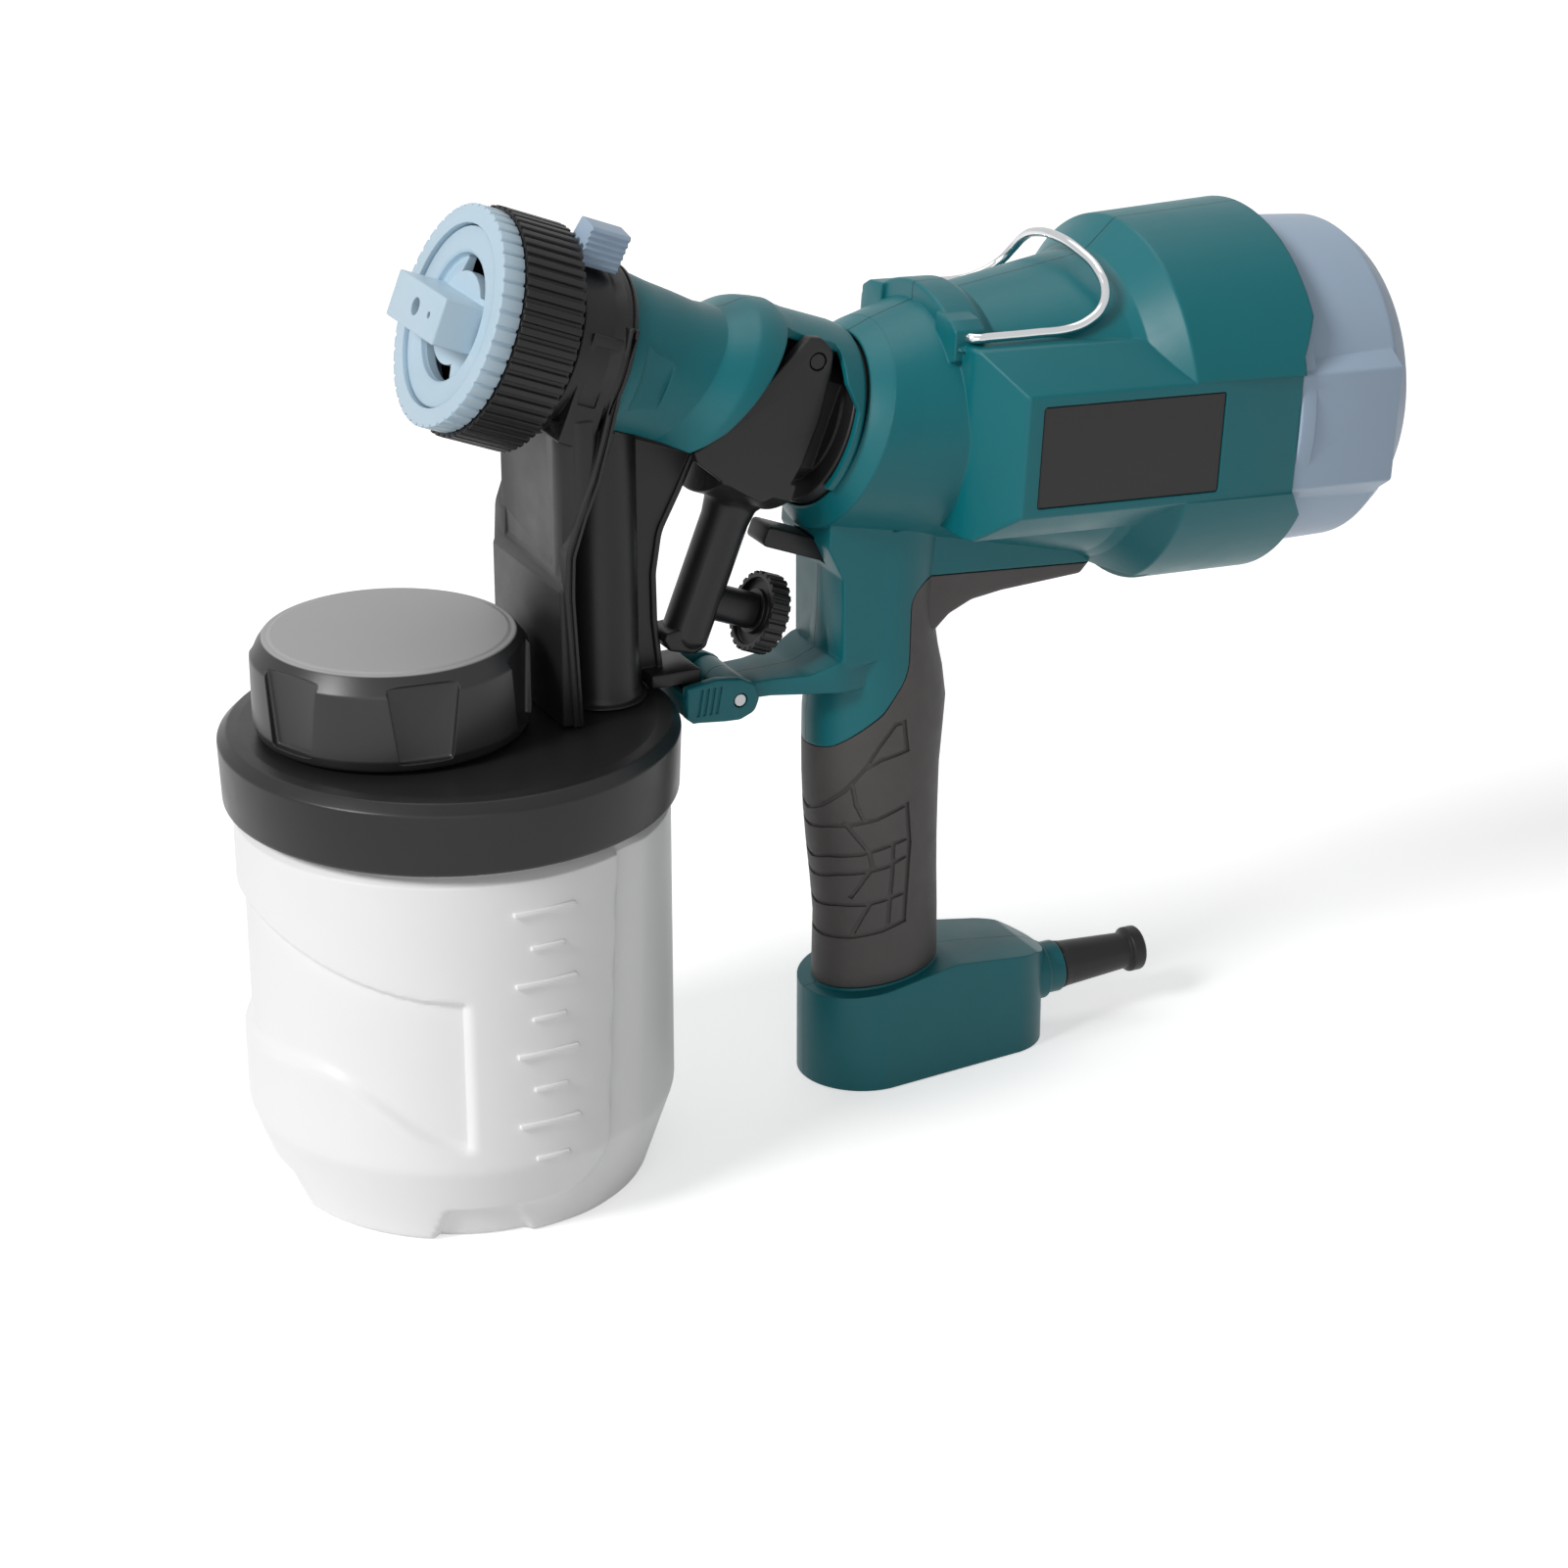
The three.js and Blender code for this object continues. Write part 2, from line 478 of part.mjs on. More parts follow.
// ---- switch, latch and cord entry ----
function buildSmallFittings() {
  const { halfWidth: sw } = switchBar;
  addPart('switch_button', solid(block(switchBar.from, switchBar.to, -sw, sw, switchBar.bottom, switchBar.top)),
    black, barrelGroup);
  addPart('switch_body', solid(block(18, 30, -7, 7, -40, -26)), black, barrelGroup);

  const cheek = [[57.6, 119.2], [57.4, 111.4], [59.2, 110], [68, 109], [72, 108.8], [76, 110.4], [77.4, 114],
    [76, 117.6], [72.6, 119.4], [66, 120.4]];
  const clip = joined(
    solid(prismY(cheek, -12, -arm.halfWidth - fit)),
    solid(prismY(cheek, arm.halfWidth + fit, 12)),
    solid(block(57.4, 59.4, -12, 12, 111.4, 117)),
    solid(block(59, 65.6, -12, 12, 109.8, 111.6)),
  );
  const bore = solid(across(rod(-20, 20, 1.9, 16), arm.pivotX, arm.pivotZ));
  addPart('latch_clip', clip.subtract(bore), tealDark);
  addPart('latch_pin', solid(across(rod(-11.8, 11.8, 1.55, 16), arm.pivotX, arm.pivotZ)), steel);

  const bootProfile = [[165.5, 3.2], [165.5, 4.9], [171.3, 4.9], [171.3, 6.6], [173.5, 6.3], [193, 4.9], [193.6, 6.1],
    [196.6, 6.1], [197, 3.2]];
  addPart('strain_relief', solid(turned(bootProfile, 14).translate(0, 0, 16)), black);
  addPart('cord_clamp', solid(block(150, 156, -7.4, 7.4, 19, 22.4)), black);
}

// ---- spray head: neck, barrel and lid ----
function buildHead() {
  const frontPlate = [[20.8, column.foot], [20.8, 158], [22.6, 165], [31.3, 193.4], [34.6, 192.2], [26.4, 164],
    [25, 156], [25, column.foot]];
  const web = [[22.8, 150], [22.8, 192], [30, 199], [42, 203], [38, 190], [26, 158]];
  const fin = [[44, column.foot], [55.9, column.foot], [54.2, 134.8], [54, 147], [55.7, 157.4], [60.6, 166.6],
    [64, 172.6], [60, 184], [44, 190]];
  const post = loft([column.foot, 192].map((z) =>
    loopZ({ x: column.x, a: column.halfLength, b: column.halfWidth, z }, 20)));
  const sideBoss = upright(rod(150, 187, 5.2, 12), 26, -14.5);
  const sideBossFar = upright(rod(150, 187, 5.2, 12), 26, 14.5);
  const lug = solid(block(50, 63.2, -8, 8, 119.2, 122.6)).add(solid(block(60.2, 63.2, -8, 8, 113.6, 122.6)));
  const barrel = solid(turned([[-96, 0], [-96, 18.6], [-81.4, 18.6], [-81.4, 21.4], [-74.4, 21.4], [-72.4, 22.6],
    [-69.4, 22.6], [-69.4, 16.5],
    [-8, 16.5], [-8, 21.6], [14, 21.7], [14, 0]], 28), barrelFrame);
  const cheekRelief = (side) => solid(block(-46, -8.6, Math.min(side * 12.4, side * 30),
    Math.max(side * 12.4, side * 30), -30, 30), barrelFrame);
  const pinBlock = solid(block(-24.2, -14.2, -12.4, 12.4, 8, 17.4), barrelFrame);
  const coverSpace = solid(ring(-69.3, -5, 16.4, 26, 28), barrelFrame)
    .subtract(solid(block(-80, 0, -40, 40, -40, -14), barrelFrame));
  const leverSpace = solid(ring(-87.2, -81.3, 18.4, 24.4, 28), barrelFrame);
  const nutSpace = solid(ring(-110, -87.1, 18.4, 28.2, 28), barrelFrame);
  const neck = joined(solid(prismY(frontPlate, -21, 21)), solid(prismY(web, -17, 17)),
    solid(prismY(fin, -2.4, 2.4)), solid(post), solid(sideBoss), solid(sideBossFar), lug);
  let head = cutBy(neck, coverSpace, leverSpace, nutSpace).add(barrel);
  head = cutBy(head, cheekRelief(1), cheekRelief(-1)).add(pinBlock);

  const airBore = solid(rod(-60, 20, 11, 20), barrelFrame).subtract(solid(rod(-61, -44, 5.2, 12), barrelFrame));
  const frontBore = solid(ring(-100, -74, 7.4, 16, 20), barrelFrame);
  const airHoles = [45, 135, 225, 315].map((angle) => {
    const t = THREE.MathUtils.degToRad(angle);
    return solid(rod(-80, -50, 1.6, 6).translate(0, 9.3 * Math.cos(t), 9.3 * Math.sin(t)), barrelFrame);
  });
  const needleBore = solid(rod(-100, -30, 2.3, 12), barrelFrame);
  const tipSeat = solid(rod(-100, -88, 4.4, 16), barrelFrame);
  const fluidBore = solid(upright(rod(100, 196, 4.4, 12), 38, 0));
  const topWall = solid(upright(rod(198, 240, 6, 12), 38, 0));
  const pinBore = solid(across(rod(-30, 30, 2.3, 12), pivot.u, pivot.w), barrelFrame);
  const pinSlot = solid(block(-24, -14, -20, 20, -2.6, 2.6), barrelFrame);
  head = cutBy(head, airBore, frontBore, ...airHoles, needleBore, tipSeat, fluidBore.subtract(topWall), pinBore, pinSlot);
  addPart('head_body', head, black);

  const lidProfile = [[lid.bottom, lid.bore], [lid.bottom, lid.radius - 0.8], [113.6, lid.radius], [116.6, 54.6],
    [lid.top - 0.2, 52], [lid.top, 49], [lid.top, 0], [lid.plate, 0], [lid.plate, lid.bore]];
  const stub = solid(upright(rod(116, filler.neckTop, filler.neck, 32), filler.x));
  const mouthHole = solid(upright(rod(100, 140, filler.bore, 32), filler.x));
  const tubeHole = solid(upright(rod(100, 140, 6, 16), 38));
  const cover = solid(upright(turned(lidProfile, 40))).add(stub).subtract(mouthHole).subtract(tubeHole);
  addPart('cup_lid', cover, black);
  addPart('cup_gasket', solid(upright(ring(113, 114.7, 43, 50.4, 36))), seal);
  addPart('suction_tube', solid(upright(ring(14, 150, 2.6, 3.9, 16), 38)), plastic);
  addPart('suction_filter', solid(upright(turned([[8, 4.2], [8, 7], [24, 7], [24, 4.2]], 20), 38)), steel);
}

// The teal shell lies over the barrel and is cut away around the trigger cheeks.
function buildBarrelCover() {
  const shell = solid(turned([[-69, 18.6], [-69, 21], [-60, 20.2], [-50, 20.2], [-43, 21.6], [-36, 25.2], [-29, 25], [-25, 24],
    [-9, 24.2], [-5.2, 23.6], [-5.2, 22.1], [-30, 22.1], [-42, 18.6]], 28));
  const below = solid(block(-80, 0, -40, 40, -40, -13.6));
  const around = [[-46.5, -14], [-41, -6.2], [-27.8, 21], [-24, 23], [-17, 22.4], [-13.2, 19], [-11.6, 12],
    [-7.6, 7], [-7, -14]];
  const cut = (side) => solid(prismY(around, Math.min(side * 12.6, side * 40), Math.max(side * 12.6, side * 40)));
  addPart('barrel_cover', cutBy(shell, below, cut(1), cut(-1)), teal, barrelGroup);
}

// ---- nozzle end, about the barrel axis ----
function buildNozzle() {
  const toX = (shape) => shape.rotateY(Math.PI / 2);
  const grip = (radius, depth, teeth, u0, u1) => solid(toX(prismZ(fluted(radius, depth, teeth), u0, u1)));
  const tab = prismX([[-5, 21.8], [5, 21.8], [3.6, 32], [-3.6, 32]], -84.6, -71);
  const lever = solid(tab.rotateX(THREE.MathUtils.degToRad(14))).subtract(solid(rod(-81.7, -60, 23, 32)))
    .subtract(solid(rod(-90, -60, 21, 32))).add(solid(ring(-84.6, -81.7, 19, 23.6, 32)));
  addPart('pattern_lever', lever, blueGrey, barrelGroup);

  const nut = grip(27.6, 0.9, 24, -101.8, -87.4).subtract(solid(rod(-110, -80, 19, 28)))
    .subtract(solid(rod(-110, -97.8, 23.6, 28)));
  addPart('nozzle_nut', nut, black, barrelGroup);
  const ringBody = grip(26.6, 0.8, 24, -107.6, -102.1).subtract(solid(rod(-104.2, -90, 23.6, 28)))
    .subtract(solid(rod(-110, -100, 22, 28)));
  addPart('air_cap_ring', ringBody, nozzleGrey, barrelGroup);

  let cap = solid(turned([[-106.6, 0], [-106.6, 21.6], [-103.8, 21.6], [-103.8, 23.2], [-98.8, 23.2],
    [-98.8, 19], [-102.6, 17], [-102.6, 0]], 28));
  cap = cap.add(solid(block(-116, -105, -14.5, 14.5, -5.6, 5.6)));
  for (const side of [-1, 1]) {
    const slot = solid(ring(-108, -104.6, 15.6, 18.6, 28)).intersect(solid(prismX(
      [[-18, side * 4], [18, side * 4], [10, side * 30], [-10, side * 30]], -109, -103)));
    cap = cap.subtract(slot);
    cap = cap.subtract(solid(rod(-118, -100, 0.9, 10).translate(0, side * 7, 0)));
  }
  cap = cap.subtract(solid(rod(-118, -100, 2, 16)));
  addPart('air_cap', cap, nozzleGrey, barrelGroup);

  addPart('fluid_nozzle', solid(turned([[-101.6, 1.4], [-101.6, 1.9], [-97, 4.6], [-96.4, 6.6], [-96.4, 6.6],
    [-96.3, 4], [-88.4, 4], [-88.4, 1.9]], 20)), steel, barrelGroup);
  addPart('needle_packing', solid(ring(-29.6, -26.6, 2, 6, 16)), brass, barrelGroup);
  const needle = solid(turned([[-101.4, 0], [-100, 0.8], [-96, 1.2], [-96, 1.5], [4, 1.5], [4, 0]], 12))
    .add(solid(across(rod(-12.2, 12.2, 1.5, 12), pivot.u, 0)))
    .add(solid(rod(-6, -3.5, 4.2, 16)));
  addPart('needle', needle, steel, barrelGroup);
  addPart('needle_spring', solid(ring(-1.4, 12, 2, 4.2, 16)), chrome, barrelGroup);
}

// ---- trigger and its flow knob ----
function buildTrigger() {
  const cheek = [[-23.6, 20.2], [-20.2, 20.5], [-15.8, 18.4], [-14.6, 13.7], [-13.2, 1.8], [-13.6, -9.8],
    [-15.4, -17.4], [-21, -21.5], [-32, -19.4], [-41.5, -16], [-43.3, -13.7], [-37.6, -7.8]];
  const { cheekIn, cheekOut, saddleIn, saddleOut, barRadius, bossW } = trigger;
  const saddle = solid(ring(-31, -13.6, saddleIn, saddleOut, 40))
    .intersect(solid(block(-40, 0, -cheekOut, cheekOut, -40, -12)));
  const bar = solid(upright(rod(-62, -23, barRadius, 20), -20));
  const foot = solid(prismY([[-26.4, -60.4], [-26.4, -63.4], [-25, -64.6], [-18, -64], [-15.2, -61], [-18, -56]], -5, 5));
  const boss = solid(rod(-20, -4.4, 4.6, 16).translate(0, 0, bossW));
  let lever = joined(
    solid(prismY(cheek, -cheekOut, -cheekIn)),
    solid(prismY(cheek, cheekIn, cheekOut)),
    saddle, bar, foot, boss,
  );
  lever = lever.subtract(solid(across(rod(-30, 30, 2.3, 16), pivot.u, pivot.w)))
    .subtract(solid(rod(-16, 0, 2.3, 12).translate(0, 0, bossW)));
  addPart('trigger', lever, black, barrelGroup);
  addPart('trigger_pin', solid(across(rod(-16.2, 16.2, 1.95, 16), pivot.u, pivot.w)), steel, barrelGroup);
  const head = prismZ(fluted(10.2, 0.8, 18), -4, 1).rotateY(Math.PI / 2);
  const knob = solid(head).add(solid(rod(-14.5, -3.5, 1.9, 12)));
  const placed = new THREE.Group();
  placed.position.set(0, 0, bossW);
  barrelGroup.add(placed);
  addPart('flow_knob', knob, black, placed);
}

// ---- cup and filler cap ----
function buildCup() {
  const outer = [[0, 0], [0, cup.footRadius - 1], [1, cup.footRadius], [cup.taper, cup.radius],
    [cup.shoulder - 2, cup.radius], [cup.shoulder, cup.neckRadius], [cup.top, cup.neckRadius], [cup.top, 0]];
  const inner = [[cup.wall + 0.6, 0], [cup.wall + 0.6, cup.footRadius - 2.6], [cup.taper, cup.radius - cup.wall],
    [cup.shoulder - 3, cup.radius - cup.wall], [cup.shoulder - 1, cup.neckRadius - cup.wall],
    [cup.top + 2, cup.neckRadius - cup.wall], [cup.top + 2, 0]];
  let vessel = solid(upright(turned(outer, 40))).subtract(solid(upright(turned(inner, 40))));
  for (let i = 0; i < scaleMarks.count; i += 1) {
    const reach = i % 2 ? scaleMarks.short : scaleMarks.long;
    const z = scaleMarks.first + i * scaleMarks.pitch;
    const mark = block(-reach, reach, -cup.radius - 0.3, -cup.radius + 1.6, z, z + 0.9).translate(scaleMarks.shift, 0, 0);
    vessel = vessel.add(solid(mark));
  }
  addPart('cup', vessel, white);
}

function buildFillerCap() {
  const skirt = prismZ(fluted(filler.capRadius, 1.4, 10), 119.4, 139).translate(filler.x, 0, 0);
  const crown = upright(turned([[138, 0], [138, filler.capRadius - 1.4], [140.4, filler.capRadius - 1.6],
    [filler.capTop, filler.faceRadius], [filler.capTop, 0]], 40), filler.x);
  const hollow = upright(rod(110, 134.6, filler.neck + 0.5, 32), filler.x);
  addPart('filler_cap', solid(skirt).add(solid(crown)).subtract(solid(hollow)), black);
  addPart('filler_gasket', solid(upright(rod(filler.neckTop + 0.2, 134.3, 26.6, 28), filler.x)), seal);
}

buildHousing();
buildLabels();
buildMotor();
buildRearCover();
buildBail();
buildSmallFittings();
buildHead();
buildBarrelCover();
buildNozzle();
buildTrigger();
buildCup();
buildFillerCap();

export default sprayer;
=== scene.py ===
# Looks of the handheld paint sprayer.
# Sizes below are millimetres and become metres where a mesh is made.
import math
import bpy
from mathutils import Matrix, Vector


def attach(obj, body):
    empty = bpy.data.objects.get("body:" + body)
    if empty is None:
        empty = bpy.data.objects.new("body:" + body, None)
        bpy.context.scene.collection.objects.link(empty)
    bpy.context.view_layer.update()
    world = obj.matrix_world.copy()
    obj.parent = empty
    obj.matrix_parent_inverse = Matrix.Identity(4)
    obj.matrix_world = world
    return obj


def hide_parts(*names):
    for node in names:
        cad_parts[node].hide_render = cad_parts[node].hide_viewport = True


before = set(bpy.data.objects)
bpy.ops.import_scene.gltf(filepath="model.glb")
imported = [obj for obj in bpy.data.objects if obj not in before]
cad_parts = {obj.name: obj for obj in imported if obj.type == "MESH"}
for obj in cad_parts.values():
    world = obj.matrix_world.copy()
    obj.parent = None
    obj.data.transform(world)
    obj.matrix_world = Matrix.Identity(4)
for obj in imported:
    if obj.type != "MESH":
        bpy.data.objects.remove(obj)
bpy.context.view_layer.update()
print("frame loaded")

mm = 0.001
arcSteps = 5          # points along a rounded corner
weld = 2e-6           # points closer than this, in metres, become one


def tilted(degrees):
    # a frame at the point where barrel and motor meet
    return Matrix.Translation((0.1032, 0, 0.178)) @ Matrix.Rotation(math.radians(degrees), 4, "Y")


barrelPlace = tilted(21.5)     # local X runs along the barrel to the rear
motorPlace = tilted(3.3)
noPlace = Matrix()


# camera at the photo's viewing angle; focal is in pixels of the frame
view = {"place": (-0.30709, -0.80099, 0.4584), "pitch": 67.27, "turn": -26.36, "focal": 3900,
        "frame": 1601, "sensor": 36}
bpy.ops.object.camera_add(location=view["place"],
                          rotation=(math.radians(view["pitch"]), 0, math.radians(view["turn"])))
camera = bpy.context.object
camera.name = "camera"
camera.data.sensor_width = view["sensor"]
camera.data.lens = view["sensor"] * view["focal"] / view["frame"]
camera.data.clip_start = 0.05
bpy.context.scene.camera = camera
print("camera set")


def clearSelection():
    if bpy.context.object and bpy.context.object.mode != "OBJECT":
        bpy.ops.object.mode_set(mode="OBJECT")
    bpy.ops.object.select_all(action="DESELECT")


def pick(piece):
    clearSelection()
    piece.select_set(True)
    bpy.context.view_layer.objects.active = piece


def settle(piece, place=noPlace):
    # moves the mesh to its place; the object itself stays at the origin
    piece.matrix_world = place @ piece.matrix_world
    pick(piece)
    bpy.ops.object.transform_apply(location=True, rotation=True, scale=True)
    return piece


def rounded(points, closed=False):
    # (a, b) or (a, b, radius): a radius turns that corner into an arc
    line = []
    count = len(points)
    for i, point in enumerate(points):
        corner = Vector(point[:2])
        if len(point) < 3 or (not closed and i in (0, count - 1)):
            line.append(corner)
            continue
        before = Vector(points[i - 1][:2]) - corner
        after = Vector(points[(i + 1) % count][:2]) - corner
        reach = point[2] / math.tan(before.angle(after) / 2)
        reach = min(reach, before.length * 0.49, after.length * 0.49)
        start = corner + before.normalized() * reach
        end = corner + after.normalized() * reach
        for step in range(arcSteps + 1):
            t = step / arcSteps
            line.append(start.lerp(corner, t).lerp(corner.lerp(end, t), t))
    return line


def drawLine(name, points):
    # a chain of edges pulled point by point out of one vertex
    clearSelection()
    bpy.ops.mesh.primitive_plane_add(size=mm)
    piece = bpy.context.object
    piece.name = piece.data.name = name
    bpy.ops.object.mode_set(mode="EDIT")
    bpy.ops.mesh.merge(type="CENTER")
    bpy.ops.transform.translate(value=points[0])
    for here, there in zip(points, points[1:]):
        bpy.ops.mesh.extrude_vertices_move(TRANSFORM_OT_translate={"value": there - here})
    return piece


def closeUp(piece):
    bpy.ops.mesh.select_all(action="SELECT")
    bpy.ops.mesh.remove_doubles(threshold=weld)
    bpy.ops.mesh.normals_make_consistent(inside=False)
    bpy.ops.object.mode_set(mode="OBJECT")
    return piece


def turnPiece(name, profile, place=noPlace, steps=96, axis="X"):
    # profile: along the axis, distance from it, corner radius; a ring's profile ends where it starts
    ringed = tuple(profile[0][:2]) == tuple(profile[-1][:2])
    line = rounded(profile[:-1] if ringed else profile, closed=ringed)
    line += line[:1] if ringed else []
    if axis == "X":
        points = [Vector((u, 0, r)) * mm for u, r in line]
    else:
        points = [Vector((r, 0, z)) * mm for z, r in line]
    piece = drawLine(name, points)
    bpy.ops.mesh.select_all(action="SELECT")
    bpy.ops.mesh.spin(steps=steps, angle=2 * math.pi, center=(0, 0, 0),
                      axis=(1, 0, 0) if axis == "X" else (0, 0, 1))
    return settle(closeUp(piece), place)


def slabPiece(name, outline, low, high, plane="XZ", place=noPlace, soften=0, segments=3):
    # an outline in one plane pulled from low to high across it
    lay = {"XZ": lambda a, b, c: Vector((a, c, b)), "XY": lambda a, b, c: Vector((a, b, c)),
           "YZ": lambda a, b, c: Vector((c, a, b))}[plane]
    line = rounded(outline, closed=True)
    piece = drawLine(name, [lay(a, b, low) * mm for a, b in line + line[:1]])
    bpy.ops.mesh.select_all(action="SELECT")
    bpy.ops.mesh.remove_doubles(threshold=weld)
    bpy.ops.mesh.select_all(action="SELECT")
    bpy.ops.mesh.edge_face_add()
    bpy.ops.mesh.extrude_region_move(TRANSFORM_OT_translate={"value": lay(0, 0, high - low) * mm})
    closeUp(piece)
    if soften:
        softenEdges(piece, soften, segments)
    return settle(piece, place)


def loftPiece(name, stations, place=noPlace, sides=96):
    # stations: height, half-width x, half-width y, shift x, lean in degrees about Y
    z0, a0, b0, x0, lean0 = stations[0]
    clearSelection()
    bpy.ops.mesh.primitive_circle_add(vertices=sides, radius=mm, fill_type="NGON", location=(x0 * mm, 0, z0 * mm))
    piece = bpy.context.object
    piece.name = piece.data.name = name
    bpy.ops.object.transform_apply(location=True, rotation=True, scale=True)
    bpy.ops.object.mode_set(mode="EDIT")
    bpy.ops.mesh.select_all(action="SELECT")
    bpy.ops.transform.resize(value=(a0, b0, 1), center_override=(x0 * mm, 0, z0 * mm))
    if lean0:
        bpy.ops.transform.rotate(value=math.radians(-lean0), orient_axis="Y", center_override=(x0 * mm, 0, z0 * mm))
    for z, a, b, x, lean in stations[1:]:
        bpy.ops.mesh.extrude_region_move(TRANSFORM_OT_translate={"value": ((x - x0) * mm, 0, (z - z0) * mm)})
        centre = (x * mm, 0, z * mm)
        if lean != lean0:
            bpy.ops.transform.rotate(value=math.radians(lean0 - lean), orient_axis="Y", center_override=centre)
        bpy.ops.transform.resize(value=(a / a0, b / b0, 1), center_override=centre)
        z0, a0, b0, x0, lean0 = z, a, b, x, lean
    return settle(closeUp(piece), place)


def applyModifier(piece, kind, **values):
    modifier = piece.modifiers.new("step", kind)
    for key, value in values.items():
        setattr(modifier, key, value)
    pick(piece)
    bpy.ops.object.modifier_apply(modifier=modifier.name)
    return piece


def softenEdges(piece, width, segments=3, angle=30):
    return applyModifier(piece, "BEVEL", width=width * mm, segments=segments, limit_method="ANGLE",
                         angle_limit=math.radians(angle))


def combine(piece, *others, way="UNION"):
    for other in others:
        applyModifier(piece, "BOOLEAN", operation=way, object=other, solver="MANIFOLD")
        bpy.data.objects.remove(other)
    return piece


def carve(piece, *others):
    return combine(piece, *others, way="DIFFERENCE")


def cropTo(piece, *others):
    return combine(piece, *others, way="INTERSECT")


def mirrored(piece):
    # the same piece on the far side of the middle plane
    twin = piece.copy()
    twin.data = piece.data.copy()
    bpy.context.collection.objects.link(twin)
    settle(twin, Matrix.Diagonal((1, -1, 1, 1)))
    bpy.ops.object.mode_set(mode="EDIT")
    return closeUp(twin)


def merge(piece, *others):
    pick(piece)
    for other in others:
        other.select_set(True)
    bpy.ops.object.join()
    return piece


def fluted(radius, depth, teeth, crest=0.6):
    # round outline with teeth; crest is the tooth's share of the pitch
    points = []
    for i in range(teeth):
        for part, r in ((0, radius), (crest, radius), (crest + 0.1, radius - depth), (0.9, radius - depth)):
            turn = (i + part) / teeth * 2 * math.pi
            points.append((r * math.cos(turn), r * math.sin(turn)))
    return points


def rodPiece(u0, u1, radius, place=barrelPlace, steps=48, soften=0.3):
    return turnPiece("rod", [(u0, 0), (u0, radius, soften), (u1, radius, soften), (u1, 0)], place, steps)


def ringPiece(u0, u1, inner, outer, place=barrelPlace, steps=96, soften=0.3):
    return turnPiece("ring", [(u0, inner, soften), (u0, outer, soften), (u1, outer, soften), (u1, inner, soften),
                              (u0, inner, soften)], place, steps)


def uprightPlace(x, y=0):
    return Matrix.Translation((x * mm, y * mm, 0))


def crossPlace(u, w):
    # local X turned to lie across the gun
    return barrelPlace @ Matrix.Translation((u * mm, 0, w * mm)) @ Matrix.Rotation(math.radians(90), 4, "Z")


def boxPiece(u0, u1, y0, y1, w0, w1, place=barrelPlace, soften=0):
    return slabPiece("box", [(u0, w0), (u1, w0), (u1, w1), (u0, w1)], y0, y1, "XZ", place, soften)


def dress(piece, body, nodes, finish, angle=32):
    # finish, smooth shading under the angle, and what the piece rides on and replaces
    pick(piece)
    piece.data.materials.clear()
    piece.data.materials.append(finish)
    bpy.ops.object.shade_smooth_by_angle(angle=math.radians(angle))
    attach(piece, body)
    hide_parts(*nodes)


# a socket that works in Python expressions: each operation adds its node
class Signal:
    def __init__(self, finish, socket):
        self.finish = finish
        self.socket = socket

    def maths(self, operation, *others, clamp=False):
        return self.finish.add("ShaderNodeMath", {"operation": operation, "use_clamp": clamp},
                               dict(enumerate((self,) + others)))

    def __add__(self, other):
        return self.maths("ADD", other)

    def __sub__(self, other):
        return self.maths("SUBTRACT", other)

    def __rsub__(self, other):
        return self.finish.add("ShaderNodeMath", {"operation": "SUBTRACT"}, {0: other, 1: self})

    def __mul__(self, other):
        return self.maths("MULTIPLY", other)

    def __truediv__(self, other):
        return self.maths("DIVIDE", other)

    __radd__ = __add__
    __rmul__ = __mul__

    def size(self):
        return self.maths("ABSOLUTE")

    def above(self, edge, blur):
        # 0 below the edge, 1 above it, soft over the blur
        return ((self - edge) / blur + 0.5).maths("ADD", 0, clamp=True)

    def below(self, edge, blur):
        return 1 - self.above(edge, blur)


class Finish:
    def __init__(self, name):
        self.material = bpy.data.materials.new(name)
        self.material.use_nodes = True
        self.tree = self.material.node_tree
        self.tree.nodes.clear()
        self.place = self.add("ShaderNodeTexCoord", {}, {}, "Object")

    def add(self, kind, settings, inputs, output=0):
        node = self.tree.nodes.new(kind)
        for key, value in settings.items():
            setattr(node, key, value)
        for key, value in inputs.items():
            if isinstance(value, Signal):
                self.tree.links.new(value.socket, node.inputs[key])
            else:
                node.inputs[key].default_value = value
        return Signal(self, node.outputs[output])

    def axes(self, vector):
        split = self.tree.nodes.new("ShaderNodeSeparateXYZ")
        self.tree.links.new(vector.socket, split.inputs[0])
        return [Signal(self, output) for output in split.outputs]

    def noise(self, scale, detail=3, rough=0.5, stretch=None):
        place = self.place
        if stretch:
            place = self.add("ShaderNodeMapping", {}, {"Vector": place, "Scale": stretch})
        return self.add("ShaderNodeTexNoise", {}, {"Vector": place, "Scale": scale, "Detail": detail,
                                                   "Roughness": rough})

    def mix(self, amount, first, second):
        return self.add("ShaderNodeMix", {"data_type": "RGBA"}, {0: amount, 6: first, 7: second}, 2)

    def rounding(self, radius):
        return self.add("ShaderNodeBevel", {"samples": 6}, {"Radius": radius * mm})

    def bump(self, height, normal):
        # height in millimetres, on top of the rounded edges' normal
        return self.add("ShaderNodeBump", {}, {"Height": height, "Distance": mm, "Strength": 1.0, "Normal": normal})

    def shade(self, colour, roughness, normal, **fixed):
        inputs = {"Base Color": colour, "Roughness": roughness, "Normal": normal}
        for key, value in fixed.items():
            inputs[key.replace("_", " ")] = value
        shader = self.add("ShaderNodeBsdfPrincipled", {}, inputs)
        return self.finishWith(shader)

    def finishWith(self, shader):
        output = self.tree.nodes.new("ShaderNodeOutputMaterial")
        self.tree.links.new(shader.socket, output.inputs["Surface"])
        return self.material


